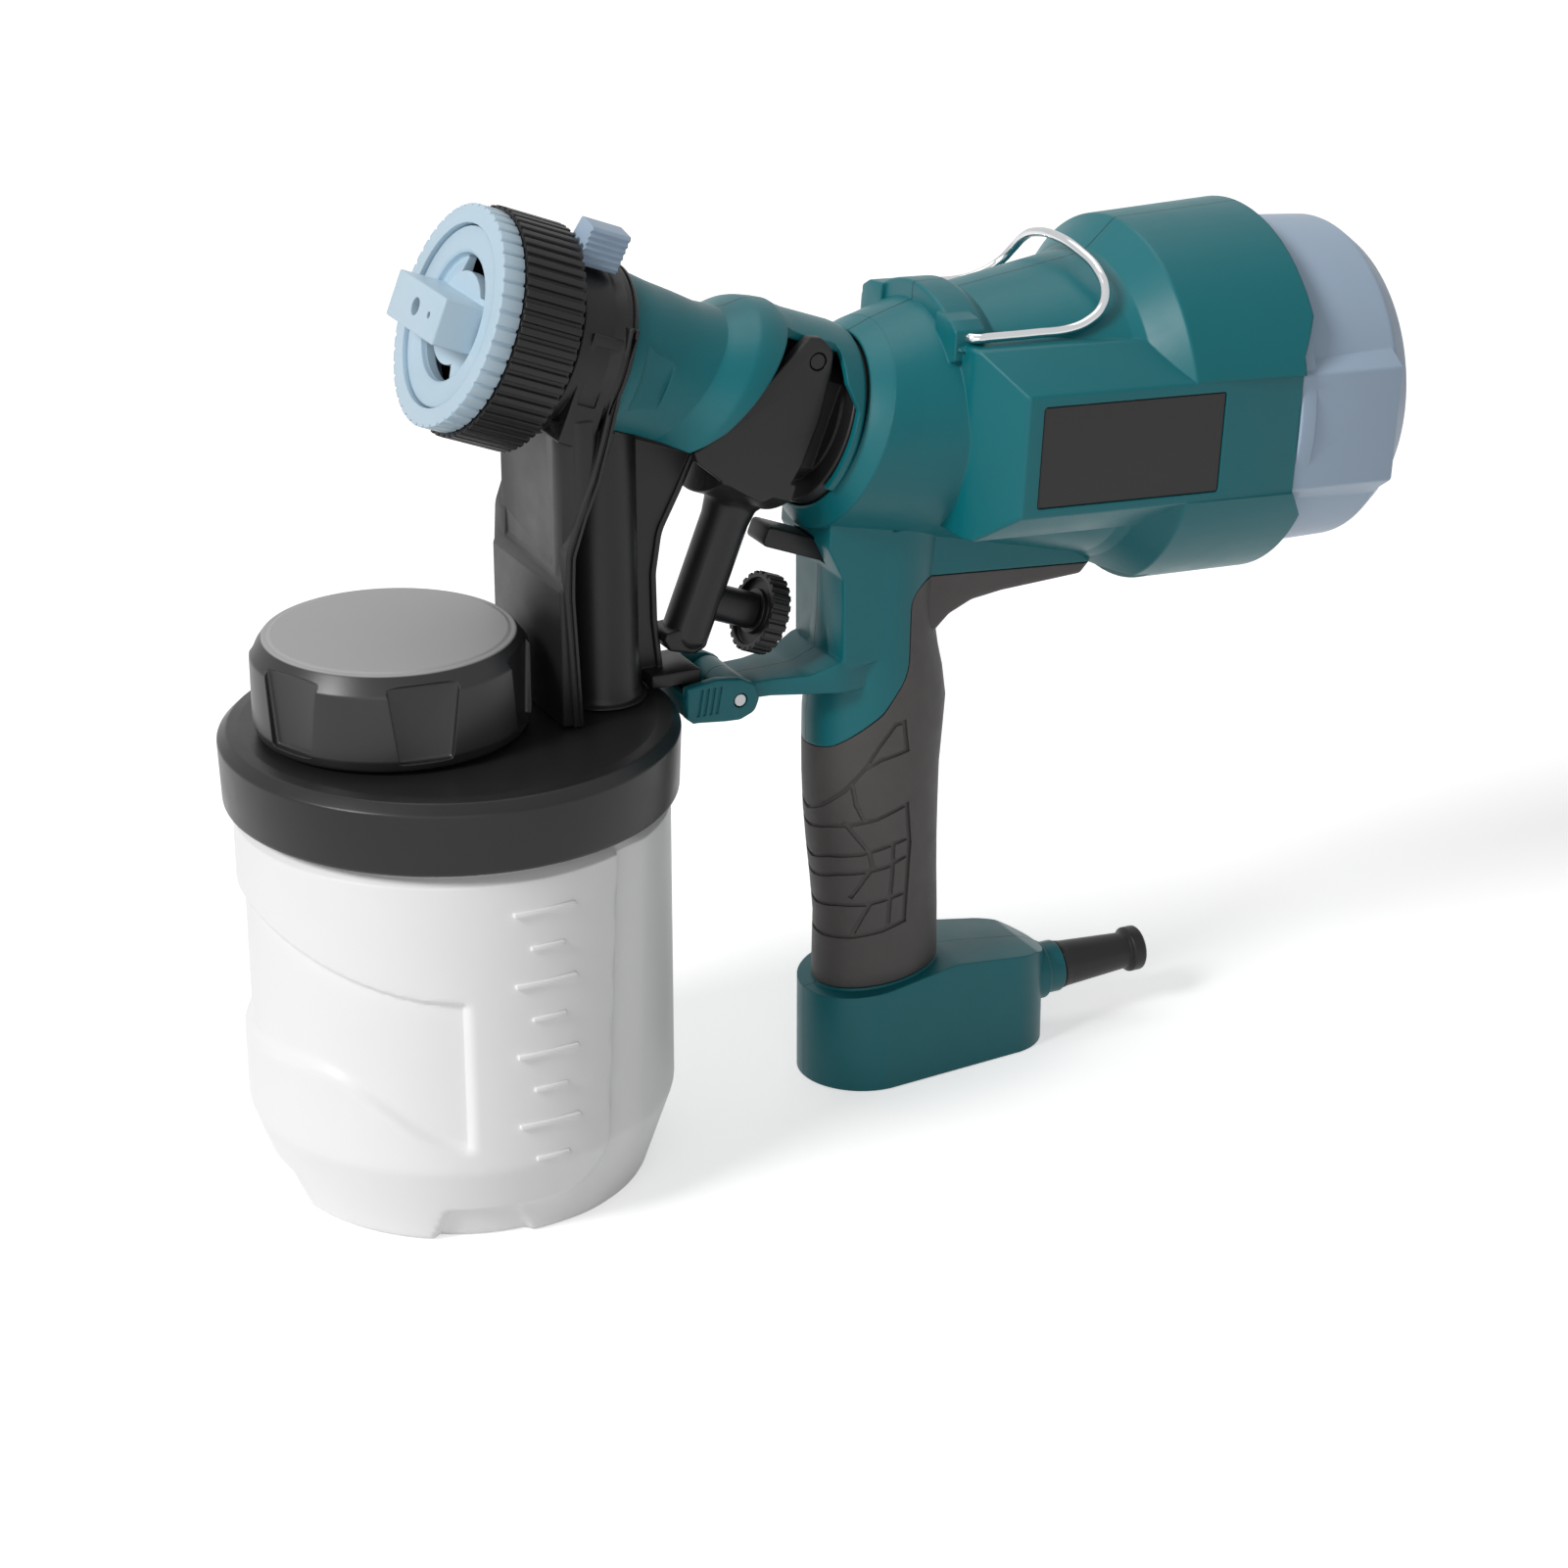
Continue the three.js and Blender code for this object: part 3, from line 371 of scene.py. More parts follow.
def tone(red, green, blue):
    # screen colour 0-255 to the linear values that sockets take
    def linear(value):
        value /= 255
        return value / 12.92 if value <= 0.04045 else ((value + 0.055) / 1.055) ** 2.4
    return (linear(red), linear(green), linear(blue), 1.0)


def scaled(colour, amount):
    return tuple(min(1, c * amount) for c in colour[:3]) + (1.0,)


def mouldedPlastic(name, colour, roughness=0.42, grain=0.02, edge=0.5, shift=0.12, seam=False, gleam=0.34):
    finish = Finish(name)
    cloud = finish.noise(38, 4)
    fine = finish.noise(2600, 2)
    paint = finish.mix(cloud, scaled(colour, 1 - shift), scaled(colour, 1 + shift))
    height = fine * grain
    if seam:
        across = finish.axes(finish.place)[1].size() * 1000     # the halves meet on the middle plane
        line = across.below(0.16, 0.12)
        paint = finish.mix(line * 0.75, paint, scaled(colour, 0.25))
        height = height - line * 0.4
    normal = finish.bump(height, finish.rounding(edge))
    gloss = finish.noise(160, 3) * 0.12 + (roughness - 0.06)
    return finish.shade(paint, gloss, normal, Specular_IOR_Level=gleam)


def capWithPaintedSheen(name, colour, paintedSheenColour, level):
    # the flat top above the level is painted paler: a painted highlight standing in for light reflected off the top;
    # that disc is also a little rougher
    finish = Finish(name)
    height = finish.axes(finish.place)[2] * 1000
    disc = height.above(level, 0.3)
    cloud = finish.noise(38, 4) * 0.06 + 0.97
    # the top disc takes the painted highlight colour
    paint = finish.mix(disc, colour, paintedSheenColour)
    paint = finish.add("ShaderNodeMix", {"data_type": "RGBA", "blend_type": "MULTIPLY"},
                       {0: 1.0, 6: paint, 7: cloud}, 2)
    normal = finish.bump(finish.noise(2600, 2) * 0.012, finish.rounding(0.5))
    return finish.shade(paint, disc * 0.1 + 0.36, normal)


def brushedMetal(name, colour, roughness=0.28, scratch=0.004, stretch=(1, 1, 1)):
    finish = Finish(name)
    lines = finish.noise(900, 3, 0.6, stretch)
    cloud = finish.noise(60, 3)
    paint = finish.mix(cloud, scaled(colour, 0.86), colour)
    normal = finish.bump(lines * scratch, finish.rounding(0.3))
    gloss = lines * 0.16 + (roughness - 0.08)
    return finish.shade(paint, gloss, normal, Metallic=1.0)


def rubberFinish():
    finish = Finish("gripRubber")
    grain = finish.noise(1800, 3)
    cloud = finish.noise(30, 3)
    paint = finish.mix(cloud, tone(62, 59, 58), tone(76, 72, 71))
    normal = finish.bump(grain * 0.03, finish.rounding(0.35))
    return finish.shade(paint, finish.noise(220, 3) * 0.16 + 0.5, normal)


finishes = {
    "teal": mouldedPlastic("tealShell", tone(6, 104, 112), 0.38, 0.012, 0.6, 0.06, seam=True),
    "tealClip": mouldedPlastic("tealClip", tone(8, 98, 106), 0.42, 0.012, 0.4, 0.08),
    "black": mouldedPlastic("blackPlastic", tone(31, 30, 31), 0.4, 0.014, 0.5, 0.1),
    "blackSatin": mouldedPlastic("blackSatin", tone(34, 34, 35), 0.34, 0.008, 0.6, 0.08),
    # the cap's pale grey top (168) is a painted highlight for light reflected off its flat top
    "cap": capWithPaintedSheen("capPlastic", tone(34, 34, 35), tone(168, 168, 168), 142.5),
    "plate": mouldedPlastic("darkPlate", tone(44, 42, 42), 0.5, 0.012, 0.4, 0.08),
    "blueGrey": mouldedPlastic("blueGrey", tone(164, 184, 205), 0.38, 0.01, 0.6, 0.04),
    "paleGrey": mouldedPlastic("paleGrey", tone(186, 208, 222), 0.36, 0.008, 0.4, 0.04),
    "white": mouldedPlastic("cupWhite", tone(243, 243, 243), 0.42, 0.004, 0.5, 0.02),
    "nylon": mouldedPlastic("whiteNylon", tone(222, 226, 228), 0.42, 0.012, 0.3, 0.04),
    "seal": mouldedPlastic("sealRubber", tone(40, 40, 41), 0.72, 0.03, 0.3, 0.15),
    "foam": mouldedPlastic("filterFoam", tone(58, 62, 66), 0.95, 0.5, 0.2, 0.4),
    "steel": brushedMetal("steel", tone(176, 178, 180), 0.28),
    "chrome": brushedMetal("chromeWire", tone(226, 228, 230), 0.14, 0.001),
    "brass": brushedMetal("brass", tone(190, 152, 88), 0.3),
    "copper": brushedMetal("woundCopper", tone(172, 104, 66), 0.4, 0.05, (1, 1, 6)),
    "rubber": rubberFinish()}
print("finishes made")


# every CAD node takes a finish; a piece built below hides its own nodes
nodeFinish = {
    "teal": ["housing_left", "housing_right", "barrel_cover"], "tealClip": ["latch_clip"],
    "rubber": ["grip_sleeve"], "plate": ["label_plate_left", "label_plate_right", "brush_left", "brush_right"],
    "black": ["head_body", "trigger", "flow_knob", "switch_button", "switch_body", "strain_relief", "cord_clamp",
              "nozzle_nut", "trigger_pin"],
    "blackSatin": ["cup_lid", "filler_cap"],
    "blueGrey": ["rear_cover", "pattern_lever", "motor_bracket_front", "motor_bracket_rear"],
    "paleGrey": ["air_cap_ring", "air_cap"], "white": ["cup"],
    "nylon": ["fan_shroud", "fan_impeller", "suction_tube"],
    "seal": ["cup_gasket", "filler_gasket"], "foam": ["air_filter"],
    "steel": ["housing_screw_1", "housing_screw_2", "housing_screw_3", "housing_screw_4", "bearing_front",
              "bearing_rear", "rotor_shaft", "latch_pin", "suction_filter", "fluid_nozzle", "needle",
              "needle_spring"],
    "chrome": ["wire_bail"], "brass": ["commutator", "needle_packing"], "copper": ["motor_stator", "rotor_core"]}
for key, names in nodeFinish.items():
    for name in names:
        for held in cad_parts[name].material_slots:
            held.material = finishes[key]


# the cup stands on the floor; angles are degrees round it, from the rear
cupShape = {
    "foot": 45.5, "radius": 53, "neck": 50.6, "wall": 2.8, "base": 2.6, "taper": 22, "shoulder": 98.5, "top": 112.6,
    "steps": 320, "levelGap": 0.9,
    "marks": {"count": 8, "first": 23.5, "pitch": 9.2, "thick": 1.2, "proud": 0.7, "sunk": 1.4,
              "short": (-2.2, 6.4), "long": (-6.2, 9.4)},
    "swoosh": {"depth": 1.9, "top": 80.5, "topFall": 13, "topFrom": -190, "bottom": 44, "bottomFall": 17.5,
               "bottomFrom": -150, "backFall": 4, "end": -108.5, "start": -232},
    "panel": {"step": 1.6, "edge": -65, "lean": 5, "leanFrom": 96.5, "leanOver": 72, "cornerZ": 24, "corner": -84,
              "cornerWide": 14, "cornerHigh": 13.5, "low": 10.5, "end": -104},
    "notch": {"depth": 2.5, "half": 16, "slope": 0.5, "high": 9.6, "arch": 0.6, "middles": (-106, -182, 14, 90)}}


def smoothStep(value):
    # 0 to 1 with soft ends
    value = min(1, max(0, value))
    return value * value * (3 - 2 * value)


def swooshDent(angle, z):
    w = cupShape["swoosh"]
    top, bottom = w["top"], w["bottom"]
    if angle > w["topFrom"]:
        top -= w["topFall"] * smoothStep((angle - w["topFrom"]) / 82)
    if angle > w["bottomFrom"]:
        bottom -= w["bottomFall"] * smoothStep((angle - w["bottomFrom"]) / 41)
    else:
        bottom -= w["backFall"] * smoothStep((w["bottomFrom"] - angle) / 50)
    inside = smoothStep((top - z) / 2) * smoothStep((z - bottom) / 3.4) * smoothStep((w["end"] - angle) / 1.6)
    return w["depth"] * inside * smoothStep((angle - w["start"]) / 30)


def panelDent(angle, z):
    # edge of the raised front panel: down beside the marks, then round toward the foot
    w = cupShape["panel"]
    if z > w["cornerZ"]:
        past = angle - w["edge"] + w["lean"] * (w["leanFrom"] - z) / w["leanOver"]
    elif angle > w["corner"]:
        reach = math.hypot((angle - w["corner"]) / w["cornerWide"], (w["cornerZ"] - z) / w["cornerHigh"])
        past = (reach - 1) * w["cornerHigh"]
    else:
        past = w["low"] - z
    fade = smoothStep((14 - past) / 11) * smoothStep((angle - w["end"]) / 4)
    return w["step"] * smoothStep(past / 1.5) * fade


def notchDent(angle, z):
    w = cupShape["notch"]
    amount = 0
    for middle in w["middles"]:
        half = w["half"] - w["slope"] * z
        arch = w["high"] + w["arch"] * math.cos((angle - middle) / w["half"])
        amount += smoothStep((half - abs(angle - middle)) / 1.8) * smoothStep((arch - z) / 1.2)
    return w["depth"] * amount


def buildCup():
    c = cupShape
    spread = (c["radius"] - c["foot"]) / c["taper"]
    inner = c["radius"] - c["wall"]
    throat = c["neck"] - c["wall"]
    wallLevels = [c["taper"] + 1 + i * c["levelGap"] for i in range(82)]
    profile = [(0, 0), (0, c["foot"] - 0.8), (0.8, c["foot"] + 0.1)]
    profile += [(step * 0.8, c["foot"] + spread * step * 0.8) for step in range(2, 27)]
    profile += [(c["taper"], c["radius"] - 0.1)] + [(z, c["radius"]) for z in wallLevels if z < 96]
    profile += [(c["shoulder"] - 2, c["radius"], 1), (c["shoulder"], c["neck"], 1), (c["top"], c["neck"], 0.6),
                (c["top"], throat, 0.6), (c["shoulder"], throat, 2), (c["shoulder"] - 3, inner, 2),
                (c["taper"], inner, 3), (c["base"], c["foot"] - 3.8, 2), (c["base"], 0)]
    cup = turnPiece("cupBottle", profile, axis="Z", steps=c["steps"])
    for vertex in cup.data.vertices:
        x, y, z = vertex.co / mm
        far = math.hypot(x, y)
        if z < 97 and far > c["foot"] - 1.2 + spread * min(z, c["taper"]):
            angle = math.degrees(math.atan2(y, x))
            angle = angle - 360 if angle > 60 else angle
            dent = max(swooshDent(angle, z), panelDent(angle, z), notchDent(angle, z)) * mm
            vertex.co.x -= x / far * dent
            vertex.co.y -= y / far * dent
    m = c["marks"]
    marks = []
    for i in range(m["count"]):
        low = m["first"] + i * m["pitch"]
        left, right = m["long"] if i % 2 else m["short"]
        outline = [(left, low), (right, low), (right, low + m["thick"]), (left, low + m["thick"])]
        marks.append(slabPiece("mark", outline, -c["radius"] - m["proud"], -c["radius"] + m["sunk"], soften=0.2,
                               segments=2))
    merge(cup, *marks)
    dress(cup, "cup_body", ["cup"], finishes["white"], 40)
    print("cup made")


buildCup()

# the lid carries the filler neck in front of the middle and the suction tube behind it
lidShape = {"radius": 55.8, "bottom": 100.2, "top": 118.5, "plate": 115, "bore": 51.2, "face": 50.5,
            "mouthX": -14.5, "mouth": 24, "neck": 27, "neckTop": 132.4, "tubeX": 38, "tube": 6}
capShape = {"x": -14.5, "skirt": 119.4, "radius": 33.2, "face": 29.6, "top": 143, "hollow": 27.5,
            "hollowTop": 134.6, "recesses": 6, "depth": 2.4, "recessFrom": 121.6, "recessTo": 140.6,
            "recessLow": 6.4, "recessHigh": 8.8, "phase": -0.12}


def buildLid():
    s = lidShape
    lid = turnPiece("cupLid", [(s["plate"], 0), (s["plate"], s["bore"]), (s["bottom"], s["bore"], 0.4),
                               (s["bottom"], s["radius"] - 0.6, 1.2), (s["top"] - 2.8, s["radius"], 1),
                               (s["top"] - 0.5, s["radius"] - 2.4, 0.8), (s["top"], s["face"], 1), (s["top"], 0)],
                    axis="Z", steps=128)
    shift = uprightPlace(s["mouthX"])
    stub = turnPiece("stub", [(116, 0), (116, s["neck"]), (s["neckTop"], s["neck"], 0.6), (s["neckTop"], 0)], shift,
                     axis="Z")
    hole = turnPiece("hole", [(100, 0), (100, s["mouth"]), (140, s["mouth"]), (140, 0)], shift, axis="Z")
    tube = turnPiece("tube", [(100, 0), (100, s["tube"]), (140, s["tube"]), (140, 0)], uprightPlace(s["tubeX"]),
                     axis="Z", steps=48)
    combine(lid, stub)
    carve(lid, hole, tube)
    dress(lid, "gun", ["cup_lid"], finishes["blackSatin"])


def buildFillerCap():
    s = capShape
    shift = uprightPlace(s["x"])
    rim = s["top"] - 0.3
    cap = turnPiece("fillerCap", [(s["skirt"], 0), (s["skirt"], s["radius"] - 0.9, 1.6),
                                  (s["skirt"] + 3, s["radius"], 2), (138.4, s["radius"], 1.6),
                                  (rim, s["face"] + 0.5, 0.9), (rim, s["face"] - 0.7, 0.5),
                                  (s["top"], s["face"] - 1.5, 0.6), (s["top"], 0)], shift, axis="Z", steps=128)
    carve(cap, turnPiece("hollow", [(110, 0), (110, s["hollow"]), (s["hollowTop"], s["hollow"]), (s["hollowTop"], 0)],
                         shift, axis="Z"))
    cuts = []
    low, high = s["recessLow"], s["recessHigh"]
    outline = [(-low, s["recessFrom"]), (low, s["recessFrom"]), (high, s["recessTo"], 1.2),
               (-high, s["recessTo"], 1.2)]
    for i in range(s["recesses"]):
        cut = slabPiece("cut", outline, s["radius"] - s["depth"], s["radius"] + 4, soften=0.8)
        turn = i * 2 * math.pi / s["recesses"] + s["phase"]
        cuts.append(settle(cut, shift @ Matrix.Rotation(turn, 4, "Z")))
    carve(cap, *cuts)
    dress(cap, "filler", ["filler_cap"], finishes["cap"], 25)
    print("lid and filler cap made")


buildLid()
buildFillerCap()


# motor unit, handle and base are one moulded shell; u runs rearward along the motor
shell = {"mouth": 26.9, "mouthLean": 18.2, "waist": 32, "waistAt": 33, "cone": 38.2, "coneAt": 66,
         "bulgeFull": 76.4, "bulgeFront": 46.6, "bulgeTo": 112, "bulge": 47.6, "rise": 1.7,
         "beltHalf": 44, "beltTop": 15.6, "beltBottom": -14.8, "shelfTop": 24, "shelfBottom": -23.5,
         "beltFrom": 21.5, "beltTo": 105.5, "slopeFrom": 29, "slopeTo": 45, "slopeEnd": 30}
zToU = Matrix.Rotation(math.radians(90), 4, "Y")     # a loft's height becomes the motor axis
raisedPlace = motorPlace @ Matrix.Translation((0, 0, shell["rise"] * mm))     # axis of the motor's rear end
hingePlace = Matrix.Translation((0.072, 0, 0.114)) @ Matrix.Rotation(math.radians(90), 4, "Z")     # latch pin
cordPlace = Matrix.Translation((0, 0, 0.016))     # the cord leaves along this line


def motorBody():
    s = shell
    line = rounded([(0, s["mouth"]), (9, 27.9, 6), (20, 29.6, 6), (s["waistAt"], s["waist"], 6),
                    (s["coneAt"], s["cone"], 1.2), (69, s["cone"] + 1.4, 1.2),
                    (s["bulgeFull"], s["bulgeFront"], 1.4), (s["bulgeTo"], s["bulge"])])
    stations = []
    for u, r in line:
        lean = max(0, s["mouthLean"] - u * s["mouthLean"] / 20)
        rise = s["rise"] * max(0, u - 70) / (s["bulgeTo"] - 70)
        stations.append((u, r, r, -rise, lean))
    return loftPiece("motorBody", stations, motorPlace @ zToU, sides=112)


def beltHalf():
    s = shell
    outline = [(18, s["shelfTop"]), (31, s["shelfTop"], 2), (s["beltHalf"], s["beltTop"], 1.2),
               (s["beltHalf"], s["beltBottom"], 1.2), (32, s["shelfBottom"], 2), (18, s["shelfBottom"])]
    half = slabPiece("belt", outline, s["beltFrom"], s["beltTo"], "YZ")
    pick(half)
    bpy.ops.object.mode_set(mode="EDIT")
    bpy.ops.mesh.select_all(action="SELECT")
    slope = Vector((s["slopeFrom"] - s["slopeTo"], s["slopeEnd"] - s["beltFrom"], 0)).normalized()
    bpy.ops.mesh.bisect(plane_co=(s["beltFrom"] * mm, s["slopeFrom"] * mm, 0), plane_no=slope, use_fill=True,
                        clear_outer=True)
    closeUp(half)
    softenEdges(half, 0.9, 3, 24)
    return settle(half, motorPlace)


# sections of the handle: height, middle, half length and half width
handle = {"sections": [(20, 116, 17.2, 14), (32, 116.1, 17, 13.9), (45, 116.2, 16.8, 13.8), (55, 115.6, 17.1, 14),
                       (65, 115, 17.6, 14.2), (75, 114.6, 18.1, 14.4), (85, 114.5, 18.4, 14.6),
                       (95, 114.9, 18.9, 14.7), (103, 115.3, 19.2, 14.6), (111, 115.2, 18.2, 14.4),
                       (117, 115, 17, 14.2), (130, 114.5, 15.4, 13.8), (152, 116, 16.5, 13.8)],
          "frontHalf": 13.5, "keelHalf": 9.6}


def handleForm(inset):
    stations = [(z, a - inset, b - inset, x, 0) for z, x, a, b in handle["sections"]]
    form = loftPiece("handle", stations, sides=72)
    i = inset
    front = [(99.5 + i, 119 + i, 1), (99.5 + i, 141.5, 2), (95.4 + i, 150, 1), (96 + i, 158), (114, 158),
             (114, 119 + i), (102 + i, 117 + i, 1)]
    keel = [(118, 152), (118, 116), (128 - i, 122 + i, 4), (132 - i, 125.7 + i, 5), (138.4 - i, 128.5 + i, 5),
            (147, 129.6 + i, 4), (170 - i, 130.6 + i, 2), (175 - i, 136, 2), (175 - i, 152)]
    frontHalf, keelHalf = handle["frontHalf"] - i, handle["keelHalf"] - i
    frontBlock = slabPiece("front", front, -frontHalf, frontHalf, soften=1.2)
    keelBlock = slabPiece("keel", keel, -keelHalf, keelHalf, soften=2.6)
    return combine(form, frontBlock, keelBlock)


base = {"nose": 17, "noseX": 95.5, "tail": 13.8, "tailX": 165, "endSteps": 24, "bevel": 6.2,
        "top": [(88, -11), (88, 24), (95, 25.7, 4), (133, 30.6, 14), (159, 27.2, 4), (166, 24), (170, -11)]}


def baseForm():
    b = base
    outline = []
    ends = ((b["noseX"] + b["nose"], b["nose"], 0.5), (b["tailX"] - b["tail"], b["tail"], -0.5))
    for middle, radius, start in ends:
        for i in range(b["endSteps"] + 1):
            t = (start + i / b["endSteps"]) * math.pi
            outline.append((middle + radius * math.cos(t), radius * math.sin(t)))
    form = slabPiece("base", outline, -12, 34, "XY")
    cropTo(form, slabPiece("top", b["top"], -30, 30))
    softenEdges(form, b["bevel"], 1, 40)     # the wide flat bevel round the top
    softenEdges(form, 0.6, 2, 25)
    return cropTo(form, slabPiece("floor", [(80, 0), (180, 0), (180, 50), (80, 50)], -40, 40))


def sleeveRegion(g):
    # what of the handle the rubber covers, grown all round by g
    outline = [(82, 25.2 - g), (96, 26.8 - g), (134, 31.6 - g), (150, 31.6 - g), (150, 118), (182, 118),
               (182, 132.8 + g), (124, 137.2 + g, 6), (119 - g, 134, 8), (118 - g, 114, 14), (111 - g, 104 + g, 10),
               (99, 95 + g, 8), (82, 91 + g)]
    return slabPiece("region", outline, -30, 30)


# what stands on the shell and what is cut into it, each as the outline that makes it
fittings = {
    "shoulder": [(20, 20), (20, 34, 1), (29, 34, 1.6), (33, 31.5), (33, 20), (20, 20)],
    "nose": [(-4.5, 0), (-4.5, 22.7, 0.6), (0, 26.9, 1), (8, 25.4), (8, 0)],
    "lug": [(14, 18), (20, 18), (24.4, 20, 1), (24.4, 27.4, 1), (21, 29.4, 1.5), (14, 30.2)],
    "lugFrom": 19, "lugTo": 27.4,
    "armEdge": [(72, 8.6), (82, 8.6, 6), (98, 13.3), (101, 13.3), (109, 12), (116, 4)],
    "armSide": [(72, 112.6), (72, 116.4), (92, 117, 8), (99, 120, 6), (110, 121), (116, 121), (116, 111)],
    "knuckle": [(-8.6, 0), (-8.6, 5, 0.5), (8.6, 5, 0.5), (8.6, 0)],
    "collar": [(158, 0), (158, 8), (166, 8, 0.6), (166.3, 7, 0.4), (171, 7, 0.6), (171, 0)],
    "hollow": [(16, 0), (16, 24.5), (33, 29.4), (66, 35.6), (78, 42.6), (113, 42.6), (113, 0)],
    "rearMouth": [(107.4, 0), (107.4, 44.9), (130, 44.9), (130, 0)],
    "bore": [(-8, 0), (-8, 22.1), (24, 22.1), (24, 0)],
    "buttonSlot": [(-14, -33.9), (18, -33.9), (18, -28.1), (-14, -28.1)], "buttonHalf": 5.3,
    "cordBore": [(150, 0), (150, 5.2), (176, 5.2), (176, 0)],
    "panelNotch": [(107.4, -15), (113.5, -24), (130, -24), (130, 32), (113.5, 32), (107.4, 20)],
    "labelSeat": [(33.7, -12.7, 1), (85.3, -12.7, 1), (85.3, 12.9, 1), (33.7, 12.9, 1)], "seatFloor": 43,
    "sleeveGap": 0.3, "sleeveBed": 2.2}


def bothSides(name, outline, near, far):
    # the same slab on the near and the far side of the motor
    return [slabPiece(name, outline, low, high, place=motorPlace) for low, high in ((-far, -near), (near, far))]


def buildHousing():
    s, f = shell, fittings
    body = motorBody()
    near = beltHalf()
    flat = boxPiece(68, 120, -60, -s["beltHalf"], s["beltBottom"], s["beltTop"], motorPlace)     # label side
    carve(body, mirrored(flat), flat)
    combine(body, mirrored(near), near)
    combine(body, handleForm(0), baseForm())
    shoulder = turnPiece("shoulder", f["shoulder"], motorPlace)
    cropTo(shoulder, slabPiece("limit", [(10, 22.6), (40, 22.6), (40, 40), (10, 40)], -40, 40, place=motorPlace))
    nose = turnPiece("nose", f["nose"], barrelPlace)
    lug = slabPiece("lug", f["lug"], f["lugFrom"], f["lugTo"], "YZ", motorPlace, 0.5)
    armFar = [(x, -y) + tuple(more) for x, y, *more in reversed(f["armEdge"])]
    armPlate = slabPiece("arm", f["armEdge"] + armFar, 100, 130, "XY")
    cropTo(armPlate, slabPiece("side", f["armSide"], -20, 20))
    softenEdges(armPlate, 0.6)
    knuckle = turnPiece("knuckle", f["knuckle"], hingePlace, steps=48)
    collar = turnPiece("collar", f["collar"], cordPlace, steps=64)
    carve(body, carve(sleeveRegion(f["sleeveGap"]), handleForm(f["sleeveBed"])))
    combine(body, shoulder, nose, mirrored(lug), lug, armPlate, knuckle, collar)
    hollow = turnPiece("hollow", f["hollow"], motorPlace)
    rearMouth = turnPiece("rearMouth", f["rearMouth"], raisedPlace)
    bore = turnPiece("bore", f["bore"], barrelPlace)
    slot = slabPiece("slot", f["buttonSlot"], -f["buttonHalf"], f["buttonHalf"], place=barrelPlace)
    cordBore = turnPiece("cordBore", f["cordBore"], cordPlace, steps=32)
    notches = bothSides("notch", f["panelNotch"], 30, 60)
    seats = bothSides("seat", f["labelSeat"], f["seatFloor"], 60)
    carve(body, hollow, rearMouth, bore, slot, cordBore, *notches, *seats)
    body.name = body.data.name = "housingShell"
    dress(body, "gun", ["housing_left", "housing_right"], finishes["teal"], 18)
    print("housing made")


# engraved lines of the grip as the camera sees them: sideways and height
gripLines = {
    "turn": -26.36, "width": 1.1, "depth": 0.55,
    "paths": [
        [(84, 75.2), (90.3, 79), (95.9, 83.8), (100.8, 89.5), (104.4, 95.3), (108.7, 101), (110.8, 101.4),
         (111.6, 93.5)],
        [(100.8, 89.5), (105.1, 91.9), (111.6, 93.5)],
        [(84, 71), (91.6, 73.4), (97.2, 74.2), (104, 75.6), (111.7, 78.6)],
        [(84, 61.6), (91.6, 64.9), (100.3, 66), (105.9, 67.5), (112, 69.1)],
        [(84, 56.4), (94.1, 60), (101.6, 61), (106.6, 62), (111.9, 64.3)],
        [(84, 48.6), (94.2, 51.1), (101.7, 51.7), (106.7, 52.8), (111.2, 53.9)],
        [(84, 41.4), (90.2, 41.3), (98, 42.3), (105.5, 43.9), (111.3, 45.9)],
        [(111.7, 78.6), (112.5, 67.5), (111.9, 56.8), (111.3, 45.9)],
        [(108.4, 68.5), (108.2, 60.4), (107.1, 44.7)],
        [(97.7, 85.3), (98.7, 80), (100.9, 75.3)],
        [(95.9, 74.6), (99.3, 70.3), (102.2, 66.5), (103.1, 62.1), (100.4, 58), (97.7, 53.8)],
        [(102.3, 51.4), (100.5, 48), (98, 42.8)],
    ]}


def gripGrooves():
    g = gripLines
    half = g["width"] / 2
    place = Matrix.Rotation(math.radians(g["turn"]), 4, "Z")
    grooves = None
    for path in g["paths"]:
        for (a, b), (c, d) in zip(path, path[1:]):
            x, y = Vector((c - a, d - b)).normalized() * half
            outline = [(a - x - y, b - y + x), (c + x - y, d + y + x), (c + x + y, d + y - x), (a - x + y, b - y - x)]
            piece = slabPiece("groove", outline, 10, 52, place=place)
            grooves = combine(grooves, piece) if grooves else piece
    carve(grooves, handleForm(g["depth"]))
    return cropTo(grooves, boxPiece(60, 160, -60, 0, 0, 160, noPlace))


def buildSleeve():
    sleeve = cropTo(handleForm(0), sleeveRegion(0))
    near = gripGrooves()
    carve(sleeve, mirrored(near), near, handleForm(1.9))
    sleeve.name = sleeve.data.name = "gripSleeve"
    dress(sleeve, "gun", ["grip_sleeve"], finishes["rubber"])
    print("grip sleeve made")


buildHousing()
buildSleeve()


